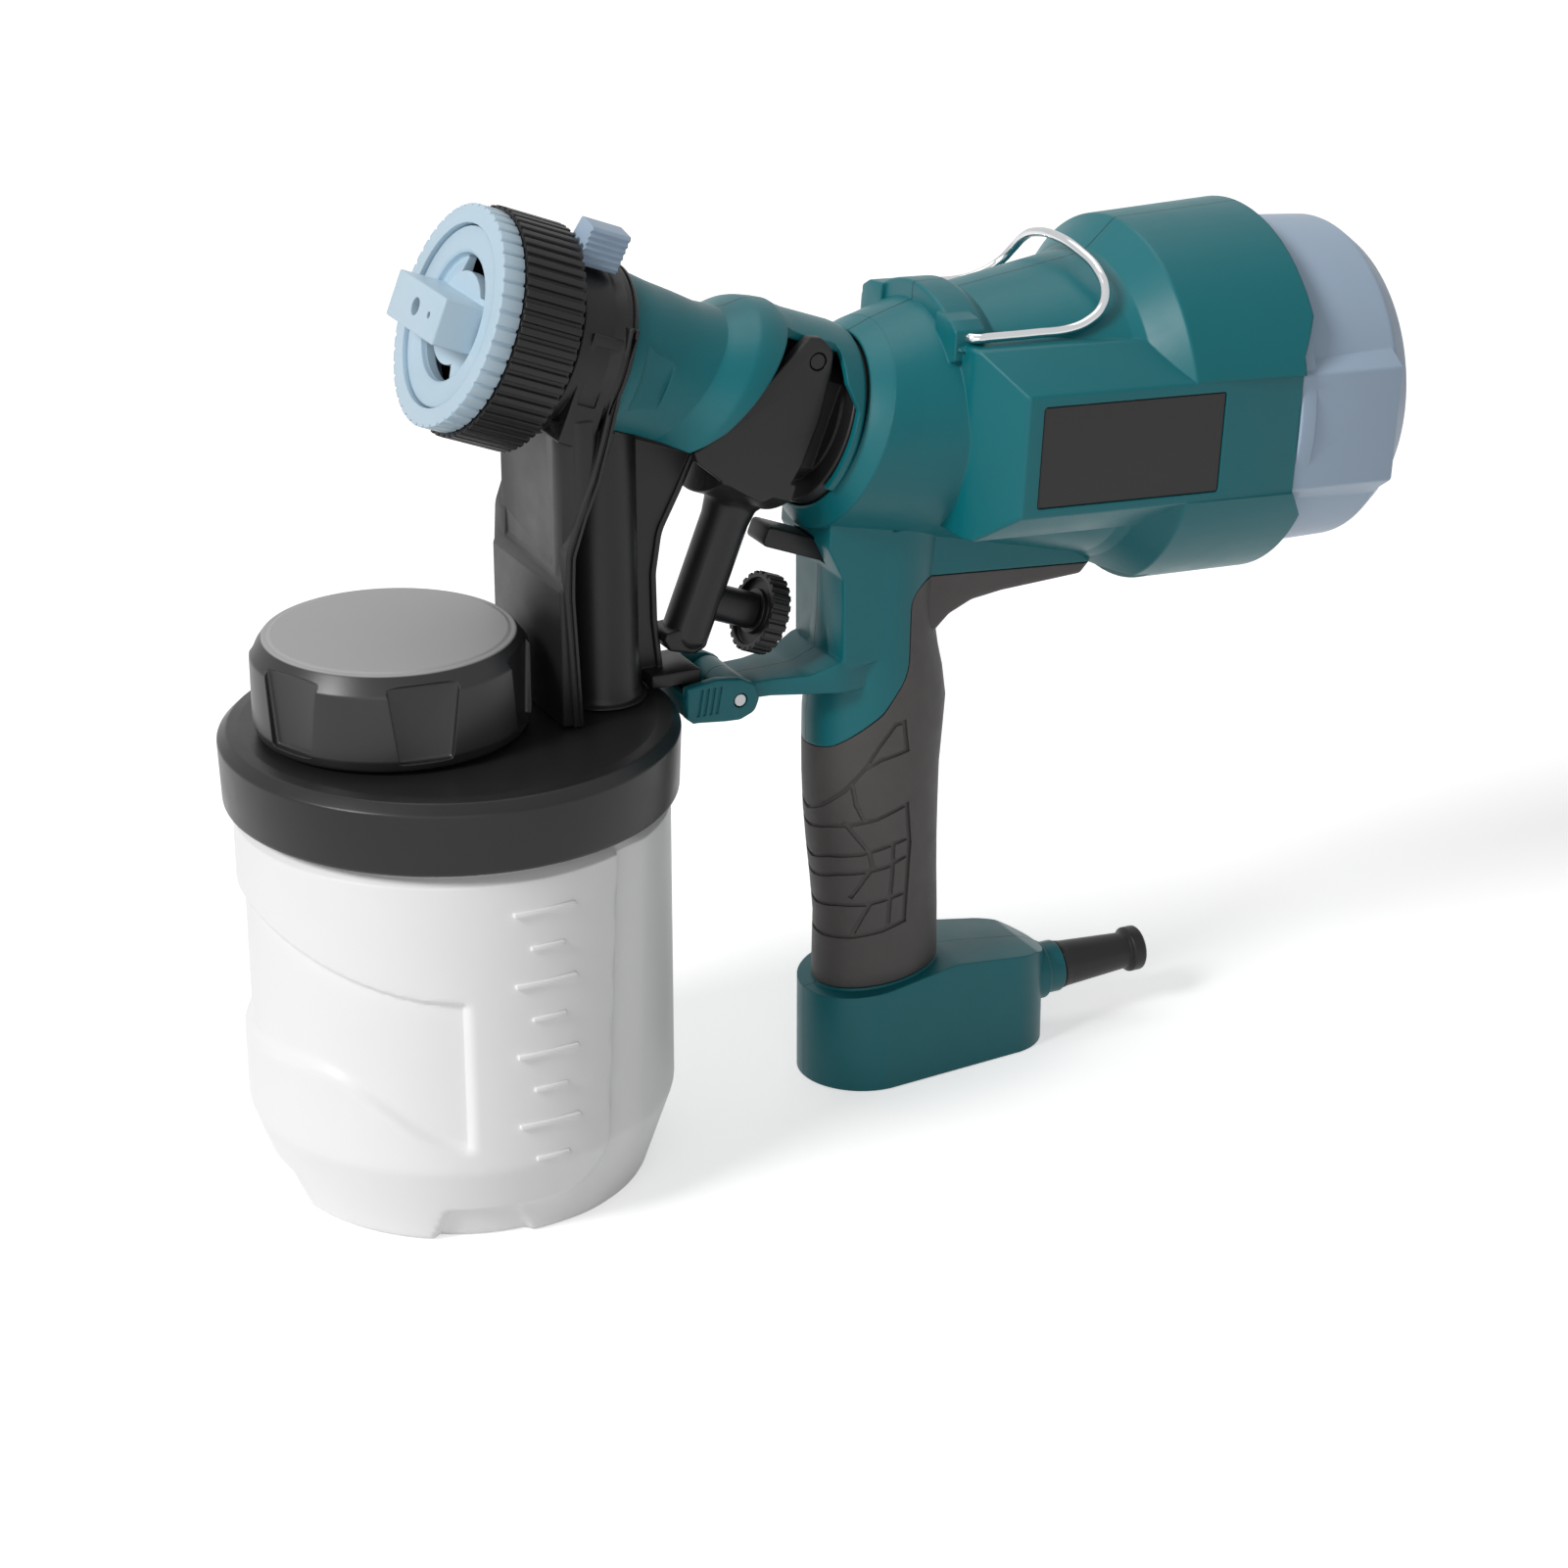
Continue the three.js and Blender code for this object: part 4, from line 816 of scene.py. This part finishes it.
# spray head: neck, drum and flange in one black casting
head = {"foot": 118.9, "plateHalf": 21, "plateTopHalf": 17.8, "postX": 38, "postLong": 10.5, "postWide": 13.5,
        "bossX": 27.6, "bossY": -16, "bossRadius": 5.8, "drum": 21.4, "flange": 22.6, "pinU": -19.2, "pinW": 15.1,
        "pinBore": 2.3,
        # the ridge down both front edges, from the flange to the lid: rear side, then front side
        "ridgeRear": [(25.8, 118.9), (24.2, 152, 20), (24.6, 161.5, 8), (27.7, 170.7, 10), (31.2, 179), (33.9, 188),
                      (37, 199.6, 10), (40.4, 208.5, 10), (42, 214.5)],
        "ridgeFront": [(39.4, 215.2), (37.9, 209.2, 10), (34.5, 200.4, 10), (31.4, 188.8), (28.7, 179.8),
                       (25.3, 171.8, 10), (22.2, 163, 8), (21.6, 152, 20), (23.2, 118.9)],
        "finEdge": [(55.9, 118.9), (54.2, 134.8, 12), (54, 147, 14), (55.7, 157.4, 12), (60.6, 166.6, 8)],
        "finTip": [(64.6, 174.1), (66.4, 178.6), (60, 186), (44, 192)],
        "rimBack": [(66.4, 178.4), (64.8, 178.8), (59.2, 167.4, 8), (54.2, 157.9, 12), (52.4, 147, 14),
                    (52.6, 134.8, 12)],
        "plate": [(20.8, 118.9), (20.8, 153, 1.5), (22.4, 157.5, 1.5), (22.4, 190), (36, 196), (31, 179),
                  (27.5, 170.7, 8), (24.9, 161.5, 6), (24.9, 118.9)],
        "web": [(22.6, 148), (22.6, 192), (30, 199), (42, 203), (38, 190), (26, 158)],
        "behindBoss": [(60, 140), (60, 200), (36, 200), (33, 188), (30.4, 179), (27, 171), (24, 162), (23, 152),
                       (23, 140)]}


def buildHead():
    h = head
    foot = h["foot"]
    plate = slabPiece("plate", h["plate"], -h["plateHalf"], h["plateHalf"], soften=0.7)
    shoulders = []
    for side in (-1, 1):
        shoulders.append(slabPiece("trim", [(side * h["plateTopHalf"], 158), (side * h["plateHalf"], 153.5),
                                            (side * 26, 153.5), (side * 26, 200), (side * h["plateTopHalf"], 200)],
                                   10, 50, "YZ"))
    carve(plate, *shoulders)
    web = slabPiece("web", h["web"], -17, 17, soften=0.8)
    fin = slabPiece("fin", [(44, foot)] + h["finEdge"] + h["finTip"], -1.7, 1.7, soften=0.4)
    rim = slabPiece("rim", [(54.3, foot)] + h["finEdge"] + h["rimBack"], -2.6, 2.6, soften=0.5)
    long, wide = h["postLong"], h["postWide"]
    post = loftPiece("post", [(foot, long + 2, wide + 2, h["postX"], 0),
                              (foot + 0.8, long + 0.6, wide + 0.6, h["postX"], 0),
                              (foot + 2.4, long, wide, h["postX"], 0), (192, long, wide, h["postX"], 0)], sides=80)
    boss = turnPiece("boss", [(148, 0), (148, h["bossRadius"]), (194.4, h["bossRadius"], 0.6), (194.4, 0)],
                     uprightPlace(h["bossX"], h["bossY"]), axis="Z", steps=64)
    carve(boss, slabPiece("behind", h["behindBoss"], -30, 10))
    ridge = slabPiece("ridge", h["ridgeRear"] + h["ridgeFront"], -22.2, -15, soften=0.5)
    groove = [(x - 0.9, z + 0.2) + tuple(more) for x, z, *more in h["ridgeRear"]]
    groove += [(x + 0.9, z - 0.2) + tuple(more) for x, z, *more in h["ridgeFront"]]
    carve(ridge, slabPiece("groove", groove, -23, -21.5))
    sideBlock = boxPiece(-80.8, -72, -21.2, 21.2, -19, 8, soften=0.6)
    carve(sideBlock, boxPiece(-79.4, -74.6, -23, -20.4, -9, 5.4, soften=0.3))
    lug = slabPiece("lug", [(50, 119.2), (63.2, 119.2), (63.2, 122.6), (50, 122.6)], -8, 8, soften=0.5)
    hook = slabPiece("hook", [(60.2, 113.6), (63.2, 113.6), (63.2, 122.6), (60.2, 122.6)], -8, 8, soften=0.5)
    form = combine(plate, web, fin, rim, post, boss, lug, hook)
    shellRoom = cropTo(ringPiece(-69.3, -5, 16.4, 26), boxPiece(-80, 10, -40, 40, -14, 40))
    leverRoom = ringPiece(-87.2, -83.1, 18.4, 24.4)
    nutRoom = ringPiece(-110, -86.3, 18.4, 28.2)
    carve(form, shellRoom, leverRoom, nutRoom)
    combine(form, sideBlock, mirrored(ridge), ridge)
    drum = turnPiece("drum", [(-96, 0), (-96, 18.6, 0.5), (-83.2, 18.6), (-83.2, h["drum"], 0.8),
                              (-75.2, h["drum"], 2), (-72.4, h["flange"], 1), (-69.4, h["flange"], 0.8),
                              (-69.4, 16.5), (-8, 16.5), (-8, 21.6, 0.6), (14, 21.7, 0.6), (14, 0)], barrelPlace)
    combine(form, drum)
    carve(form, boxPiece(-46, -8.6, 12.4, 30, -30, 30), boxPiece(-46, -8.6, -30, -12.4, -30, 30),
          ringPiece(-71.3, -70.5, 21.9, 24, soften=0.1))
    combine(form, boxPiece(-24.2, -14.2, -12.4, 12.4, 8, 17.4, soften=0.6))
    bore = carve(rodPiece(-60, 20, 11), rodPiece(-61, -44, 5.2))
    pinSlot = slabPiece("slot", [(-24, -2.6), (-14, -2.6), (-14, 2.6), (-24, 2.6)], -20, 20, place=barrelPlace)
    feed = rodPiece(100, 176, 4.4, uprightPlace(38) @ Matrix.Rotation(math.radians(-90), 4, "Y"))
    carve(form, bore, ringPiece(-100, -74, 7.4, 16), rodPiece(-100, -30, 2.3), rodPiece(-100, -88, 4.4),
          rodPiece(-30, 30, h["pinBore"], crossPlace(h["pinU"], h["pinW"])), pinSlot, feed)
    form.name = form.data.name = "headCasting"
    dress(form, "gun", ["head_body"], finishes["black"])
    print("head made")


# the teal shell over the barrel is open below, and cut away at both sides for the trigger's cheeks
barrelShell = {"lean": 20, "bottom": -13.6, "cheekGap": 12.6, "boreFront": 18.6, "bore": 22.1}


def buildBarrelCover():
    lean = barrelShell["lean"]
    ridge = [(-69, 21, 0), (-67.6, 21.2, 0), (-63, 20.4, 4), (-58, 20.1, 12), (-54, 20.1, lean), (-48.4, 20.5, lean),
             (-46.6, 21.3, lean), (-42.4, 24.4, lean), (-41, 24.9, lean), (-37, 25.1, 17), (-32, 24.9, 11),
             (-27, 24.1, 5), (-22, 23.9, 0), (-9, 24.1, 0), (-6, 23.8, 0), (-5.2, 23.2, 0)]
    shellForm = loftPiece("barrelShell", [(u, r, r, 0, turn) for u, r, turn in ridge], barrelPlace @ zToU, sides=128)
    front, rear = barrelShell["boreFront"], barrelShell["bore"]
    carve(shellForm, turnPiece("inner", [(-70, 0), (-70, front), (-42, front), (-30, rear), (-4, rear), (-4, 0)],
                               barrelPlace))
    around = [(-46.5, -14), (-41, -6.2, 4), (-27.8, 21, 2), (-24, 23, 2), (-17, 22.4, 3), (-13.2, 19, 3),
              (-11.6, 12, 2), (-7.6, 7, 1), (-7, -14)]
    gap = barrelShell["cheekGap"]
    carve(shellForm, boxPiece(-80, 0, -40, 40, -40, barrelShell["bottom"]),
          slabPiece("around", around, gap, 40, place=barrelPlace),
          slabPiece("around", around, -40, -gap, place=barrelPlace))
    panel = slabPiece("panel", [(-65.5, -9, 1), (-58.5, -9, 1), (-57, 9.5, 1), (-65.5, 9.5, 1)], -40, -19.2,
                      place=barrelPlace)
    carve(shellForm, mirrored(panel), panel)
    shellForm.name = shellForm.data.name = "barrelShell"
    dress(shellForm, "gun", ["barrel_cover"], finishes["teal"], 18)
    print("barrel shell made")


# nut, ring, air cap and pattern lever turn about the barrel's axis
nozzle = {"teeth": 60, "ringTeeth": 46, "nut": 27.6, "nutFrom": -101.8, "nutTo": -86.6, "ring": 26.6,
          "ringFrom": -107.6, "ringTo": -102.1, "barHalf": 14.5, "barWide": 5.6, "barFrom": -116,
          "slotIn": 11.2, "slotOut": 15, "sideHole": -8.2, "leverTurn": 14, "leverSteps": 6}


def buildNozzle():
    n = nozzle
    nut = slabPiece("nozzleNut", fluted(n["nut"], 0.8, n["teeth"], 0.5), n["nutFrom"], n["nutTo"], "YZ", barrelPlace)
    carve(nut, rodPiece(-110, -80, 19), rodPiece(-110, -97.8, 23.6))
    dress(nut, "nut", ["nozzle_nut"], finishes["black"], 25)
    ring = slabPiece("airCapRing", fluted(n["ring"], 0.7, n["ringTeeth"], 0.7), n["ringFrom"], n["ringTo"], "YZ")
    softenEdges(ring, 0.2, 2, 60)
    settle(ring, barrelPlace)
    carve(ring, rodPiece(-104.2, -90, 23.6), rodPiece(-110, -100, 22))
    dress(ring, "cap_ring", ["air_cap_ring"], finishes["paleGrey"], 25)
    cap = turnPiece("airCap", [(-104.9, 0), (-105.3, 11, 3), (-104.4, 15, 1), (-106.2, 15.3, 0.3), (-106.6, 16, 0.4),
                               (-106.6, 21.6, 0.5), (-103.8, 21.6), (-103.8, 23.2, 0.4), (-98.8, 23.2), (-98.8, 19),
                               (-102.6, 17), (-102.6, 0)], barrelPlace)
    bar = boxPiece(n["barFrom"], -103.6, -n["barHalf"], n["barHalf"], -n["barWide"], n["barWide"], soften=0.5)
    for side in (-1, 1):
        slot = ringPiece(-110, -100, n["slotIn"], n["slotOut"], soften=0.1)
        wedge = [(-17 * side, side * 7), (5 * side, side * 7), (5 * side, side * 30), (-17 * side, side * 30)]
        cropTo(slot, slabPiece("wedge", wedge, -111, -101.5, "YZ", barrelPlace))
        carve(cap, slot)
    combine(cap, bar)
    holePlace = barrelPlace @ Matrix.Translation((0, n["sideHole"] * mm, 0))
    carve(cap, rodPiece(-118, -100, 2.1), rodPiece(-118, -108, 0.8, holePlace, 24, 0))
    dress(cap, "spray_cap", ["air_cap"], finishes["paleGrey"])
    lever = ringPiece(-84.8, -83.5, 19, 21, soften=0.3)
    outline = [(5, 21.8), (3.6, 31.4, 0.8), (-3.4, 32, 0.6)]
    for i in range(n["leverSteps"]):     # finger steps down the tab's side
        w = 31.2 - i * 1.5
        outline += [(-3.9 - i * 0.16, w), (-3.3 - i * 0.16, w - 0.9)]
    outline += [(-5, 21.8)]
    tab = slabPiece("tab", outline, -84.8, -74.6, "YZ",
                    barrelPlace @ Matrix.Rotation(math.radians(n["leverTurn"]), 4, "X"))
    carve(tab, rodPiece(-83.5, -60, 23), rodPiece(-90, -60, 20.6))
    combine(lever, tab)
    lever.name = lever.data.name = "patternLever"
    dress(lever, "lever", ["pattern_lever"], finishes["blueGrey"], 25)
    print("nozzle made")


# trigger: two cheeks, the saddle between them, the bar below and the flow knob behind it
trigger = {
    "cheekIn": 13, "cheekOut": 16.4, "bar": 6, "barU": -20, "boss": -50.8, "knob": 10.2, "knobTeeth": 24,
    "cheek": [(-23.6, 20.2, 1.5), (-20.2, 20.8, 2), (-15.8, 18.4, 3), (-14.6, 13.7, 3), (-13.2, 1.8, 8),
              (-13.6, -9.8, 8), (-15.4, -17.4, 3), (-21, -21.5, 3), (-32, -19.4, 4), (-41.5, -16, 1),
              (-43.3, -13.7, 1), (-37.6, -7.8, 8)]}


def buildTrigger():
    t = trigger
    near = slabPiece("trigger", t["cheek"], -t["cheekOut"], -t["cheekIn"], place=barrelPlace, soften=0.7)
    far = slabPiece("cheek", t["cheek"], t["cheekIn"], t["cheekOut"], place=barrelPlace, soften=0.7)
    saddle = ringPiece(-33.4, -13.6, 22.2, 25.2, soften=0.6)
    cropTo(saddle, boxPiece(-40, 0, -t["cheekOut"], t["cheekOut"], -40, -12))
    lip = cropTo(ringPiece(-33.4, -28, 17.2, 24, soften=0.3),
                 boxPiece(-40, 0, -t["cheekOut"], t["cheekOut"], -40, -14.2))
    combine(saddle, lip)
    down = barrelPlace @ Matrix.Translation((t["barU"] * mm, 0, 0))
    r = t["bar"]
    bar = turnPiece("bar", [(-63, 0), (-63, r - 1, 1.5), (-61, r, 2), (-30, r), (-26, r + 0.6, 2), (-23, r + 3),
                            (-23, 0)], down, axis="Z", steps=64)
    foot = slabPiece("foot", [(-27.4, -60.4), (-27.4, -62.6, 1), (-25, -64.6, 2), (-18, -64, 3), (-15.2, -61, 2),
                              (-18, -56)], -5, 5, place=barrelPlace, soften=0.8)
    knobPlace = barrelPlace @ Matrix.Translation((0, 0, t["boss"] * mm))
    boss = rodPiece(-20, -4.4, 4.6, knobPlace)
    lever = combine(near, far, saddle, bar, foot, boss)
    carve(lever, rodPiece(-30, 30, head["pinBore"], crossPlace(head["pinU"], head["pinW"])),
          rodPiece(-16, 0, 2.3, knobPlace))
    dress(lever, "trigger_lever", ["trigger"], finishes["black"], 36)
    knob = slabPiece("flowKnob", fluted(t["knob"], 0.7, t["knobTeeth"], 0.5), -4, 1, "YZ", knobPlace)
    carve(knob, ringPiece(-5, -2.6, 5.6, 8.6, knobPlace), ringPiece(0, 2, 3, 8.2, knobPlace))
    combine(knob, rodPiece(-14.5, -3.5, 1.9, knobPlace))
    dress(knob, "knob", ["flow_knob"], finishes["black"], 25)
    button = slabPiece("switchButton", [(-10, -33.6, 1.4), (-10, -28.4, 1.4), (12, -28.4), (12, -33.6)], -5, 5,
                       place=barrelPlace, soften=0.6)
    dress(button, "button", ["switch_button"], finishes["black"])
    print("trigger made")


# the rear cover's lip enters the housing; its two side panels carry the housing's belts on
cover = {"lip": 44.6, "lipFrom": 107.7, "from": 112.4, "radius": 42.6, "rear": 41.6, "roundFrom": 138.4, "to": 147.6,
         "face": 32, "wall": 2.4, "panelTo": 138, "slots": 4, "slotPitch": 6.4, "slotHalf": 1.5, "slotReach": 29,
         "panel": [(31, 23.5, 2), (43.5, 15.1, 1.2), (43.5, -14.3, 1.2), (31.5, -23, 2)]}


def buildRearCover():
    c = cover
    wall, lip, lipFrom, turnFrom, to = c["wall"], c["lip"], c["lipFrom"], c["roundFrom"], c["to"]
    start = c["from"] - 0.2
    form = turnPiece("rearCover", [(lipFrom, lip - 2.2), (lipFrom, lip, 0.5), (start, lip, 0.3), (start, c["radius"]),
                                   (turnFrom, c["rear"], 3), (turnFrom + 5.4, 37.8, 4), (to, c["face"], 2), (to, 0),
                                   (to - wall, 0), (to - wall, c["face"] - 1.6), (turnFrom + 4, 35.6),
                                   (turnFrom - 1, c["rear"] - wall), (c["from"], c["radius"] - wall),
                                   (lipFrom, lip - 2.2)], raisedPlace, 128)
    notch = [(107.7, -14.6), (113.7, -23.6), (c["panelTo"], -23.6), (c["panelTo"], 31), (113.7, 31), (107.7, 19.6)]
    section = c["panel"] + [(-y, w, r) for y, w, r in reversed(c["panel"])]
    for low, high in ((-50, -30), (30, 50)):
        outer = slabPiece("panel", section, 100, c["panelTo"], "YZ", soften=0.9)
        settle(outer, motorPlace)
        cropTo(outer, slabPiece("window", notch, low, high, place=motorPlace))
        bore = carve(rodPiece(100, 150, lip - 2.2, raisedPlace, 96, 0),
                     rodPiece(lipFrom + 4, 150, c["radius"], raisedPlace, 96, 0))
        carve(outer, bore, rodPiece(lipFrom + 3.9, 160, c["radius"] - wall, raisedPlace, 96, 0),
              rodPiece(100, lipFrom, lip + 0.3, raisedPlace, 96, 0))
        combine(form, outer)
    cuts = []
    for i in range(-c["slots"], c["slots"] + 1):
        w = i * c["slotPitch"]
        reach = math.sqrt(c["slotReach"] ** 2 - w ** 2)
        cuts.append(boxPiece(to - 4, to + 1, -reach, reach, w - c["slotHalf"], w + c["slotHalf"], raisedPlace))
    carve(form, *cuts)
    dress(form, "cover", ["rear_cover"], finishes["blueGrey"], 18)
    print("rear cover made")


# half of the bail's bent wire: along the motor, sideways and up
bail = {"wire": 1.2, "roundness": 5, "smoothness": 6,
        "half": [(23, 19.8, 25.8), (23, 24.6, 25.8), (24.2, 25.9, 25.8), (27, 26.1, 25.9), (40, 26.1, 26.1),
                 (50, 26.1, 26.6), (55, 25.9, 28.2), (59, 25, 30.9), (61, 23, 34.4), (61.3, 18.5, 38.4),
                 (60.5, 11, 41.4), (60, 0, 42.8)]}


def buildBail():
    points = bail["half"] + [(u, -y, w) for u, y, w in reversed(bail["half"][:-1])]
    clearSelection()
    line = bpy.data.curves.new("wireBail", "CURVE")
    line.dimensions = "3D"
    line.bevel_depth = bail["wire"] * mm
    line.bevel_resolution = bail["roundness"]
    line.resolution_u = bail["smoothness"]
    line.use_fill_caps = True
    path = line.splines.new("BEZIER")
    path.bezier_points.add(len(points) - 1)
    for spot, point in zip(path.bezier_points, points):
        spot.co = Vector(point) * mm
        spot.handle_left_type = spot.handle_right_type = "AUTO"
    wire = bpy.data.objects.new("wireBail", line)
    bpy.context.collection.objects.link(wire)
    pick(wire)
    bpy.ops.object.convert(target="MESH")
    wire = bpy.context.object
    settle(wire, motorPlace)
    dress(wire, "bail", ["wire_bail"], finishes["chrome"], 60)


latch = {"half": 12, "cheek": 3.1, "pin": 1.9, "ribs": 4, "ribPitch": 1.7,
         "side": [(57.6, 119.2, 1), (57.4, 111.4, 1), (59.2, 110, 1), (68, 109, 2), (72, 108.8, 3), (76, 110.4, 3),
                  (77.4, 114, 3), (76, 117.6, 2), (72.6, 119.4, 2), (66, 120.4, 1.5)]}


def buildLatch():
    h = latch
    inside, wallHalf = h["half"] - h["cheek"], h["half"] - 0.2
    clip = slabPiece("latchClip", h["side"], -h["half"], -inside, soften=0.6)
    far = slabPiece("cheek", h["side"], inside, h["half"], soften=0.6)
    frontWall = slabPiece("wall", [(57.4, 111.4), (59.4, 111.4), (59.4, 117), (57.4, 117)], -wallHalf, wallHalf,
                          soften=0.5)
    floorWall = slabPiece("wall", [(59, 109.8), (65.6, 109.8), (65.6, 111.6), (59, 111.6)], -wallHalf, wallHalf,
                          soften=0.5)
    combine(clip, far, frontWall, floorWall)
    ribs = []
    for i in range(h["ribs"]):     # grooves under the thumb
        x = i * h["ribPitch"]
        ribs.append(slabPiece("rib", [(60 + x, 111.6), (60.8 + x, 111.6), (62 + x, 118.6), (61.2 + x, 118.6)],
                              -12.6, -11.5, soften=0.2))
    carve(clip, *ribs)
    carve(clip, rodPiece(-20, 20, h["pin"], hingePlace))
    dress(clip, "latch", ["latch_clip"], finishes["tealClip"])


cordSleeve = [(165.5, 3.2), (165.5, 4.9), (171.3, 4.9), (171.3, 6.6, 0.5), (173.5, 6.2, 0.6), (192.4, 4.9),
              (193.2, 6.1, 0.5), (196.6, 6.1, 0.7), (197, 3.2), (165.5, 3.2)]


def buildCordSleeve():
    boot = turnPiece("cordSleeve", cordSleeve, cordPlace, 64)
    dress(boot, "gun", ["strain_relief"], finishes["black"])
    print("small fittings made")


buildHead()
buildBarrelCover()
buildNozzle()
buildTrigger()
buildRearCover()
buildBail()
buildLatch()
buildCordSleeve()

# pale floor and soft lamps; each lamp: place, size and strength
stageSet = {"floorSize": 40, "floorDrop": 0.3, "ambient": 0.13, "floorLift": 0.58, "floorTone": 0.8,
            "aim": (0.08, 0, 0.1),
            "sun": ((-0.9, -0.2, 0.85), 18, 2.1), "fill": ((-0.6, -1.2, 0.5), 1.2, 4),
            "top": ((0.15, 0.35, 1.3), 0.9, 4)}


def buildFloor():
    clearSelection()
    bpy.ops.mesh.primitive_plane_add(size=stageSet["floorSize"], location=(0.1, 0, -stageSet["floorDrop"] * mm))
    floor = bpy.context.object
    floor.name = "floor"
    finish = Finish("paleFloor")
    level, lighter = stageSet["floorTone"], stageSet["floorTone"] * 1.02
    paint = finish.mix(finish.noise(3, 2), (level, level, level, 1), (lighter, lighter, lighter, 1))
    diffuse = finish.add("ShaderNodeBsdfDiffuse", {}, {"Color": paint})
    # the floor shows paler to the camera and in reflections, and keeps its shadow
    rays = finish.tree.nodes.new("ShaderNodeLightPath")
    seen = Signal(finish, rays.outputs["Is Camera Ray"]) + Signal(finish, rays.outputs["Is Glossy Ray"])
    seen = (seen + Signal(finish, rays.outputs["Is Transmission Ray"])).maths("MINIMUM", 1)
    glow = finish.add("ShaderNodeEmission", {}, {"Strength": seen * stageSet["floorLift"]})
    both = finish.add("ShaderNodeAddShader", {}, {0: diffuse, 1: glow})
    floor.data.materials.append(finish.finishWith(both))


def buildLamps():
    for name in ("sun", "fill", "top"):
        place, size, power = stageSet[name]
        bpy.ops.object.light_add(type="SUN" if name == "sun" else "AREA", location=place)
        lamp = bpy.context.object
        lamp.name = name
        if name == "sun":
            lamp.data.angle = math.radians(size)     # a soft edge to the shadow
        else:
            lamp.data.size = size
        lamp.data.energy = power
        lamp.rotation_euler = (Vector(stageSet["aim"]) - Vector(place)).to_track_quat("-Z", "Y").to_euler()


def buildWorld():
    world = bpy.data.worlds.new("studio")
    bpy.context.scene.world = world
    world.use_nodes = True
    tree = world.node_tree
    tree.nodes.clear()
    path = tree.nodes.new("ShaderNodeLightPath")
    add = tree.nodes.new("ShaderNodeMath")
    add.operation = "ADD"
    more = tree.nodes.new("ShaderNodeMath")
    more.operation = "ADD"
    more.use_clamp = True
    strength = tree.nodes.new("ShaderNodeMapRange")
    strength.inputs["To Min"].default_value = stageSet["ambient"]
    strength.inputs["To Max"].default_value = 1.0
    light = tree.nodes.new("ShaderNodeBackground")
    end = tree.nodes.new("ShaderNodeOutputWorld")
    for start, target in ((path.outputs["Is Camera Ray"], add.inputs[0]),
                          (path.outputs["Is Glossy Ray"], add.inputs[1]), (add.outputs[0], more.inputs[0]),
                          (path.outputs["Is Transmission Ray"], more.inputs[1]),
                          (more.outputs[0], strength.inputs["Value"]),
                          (strength.outputs[0], light.inputs["Strength"]), (light.outputs[0], end.inputs["Surface"])):
        tree.links.new(start, target)


buildFloor()
buildLamps()
buildWorld()
bpy.context.scene.view_settings.view_transform = "Standard"
print("stage made")
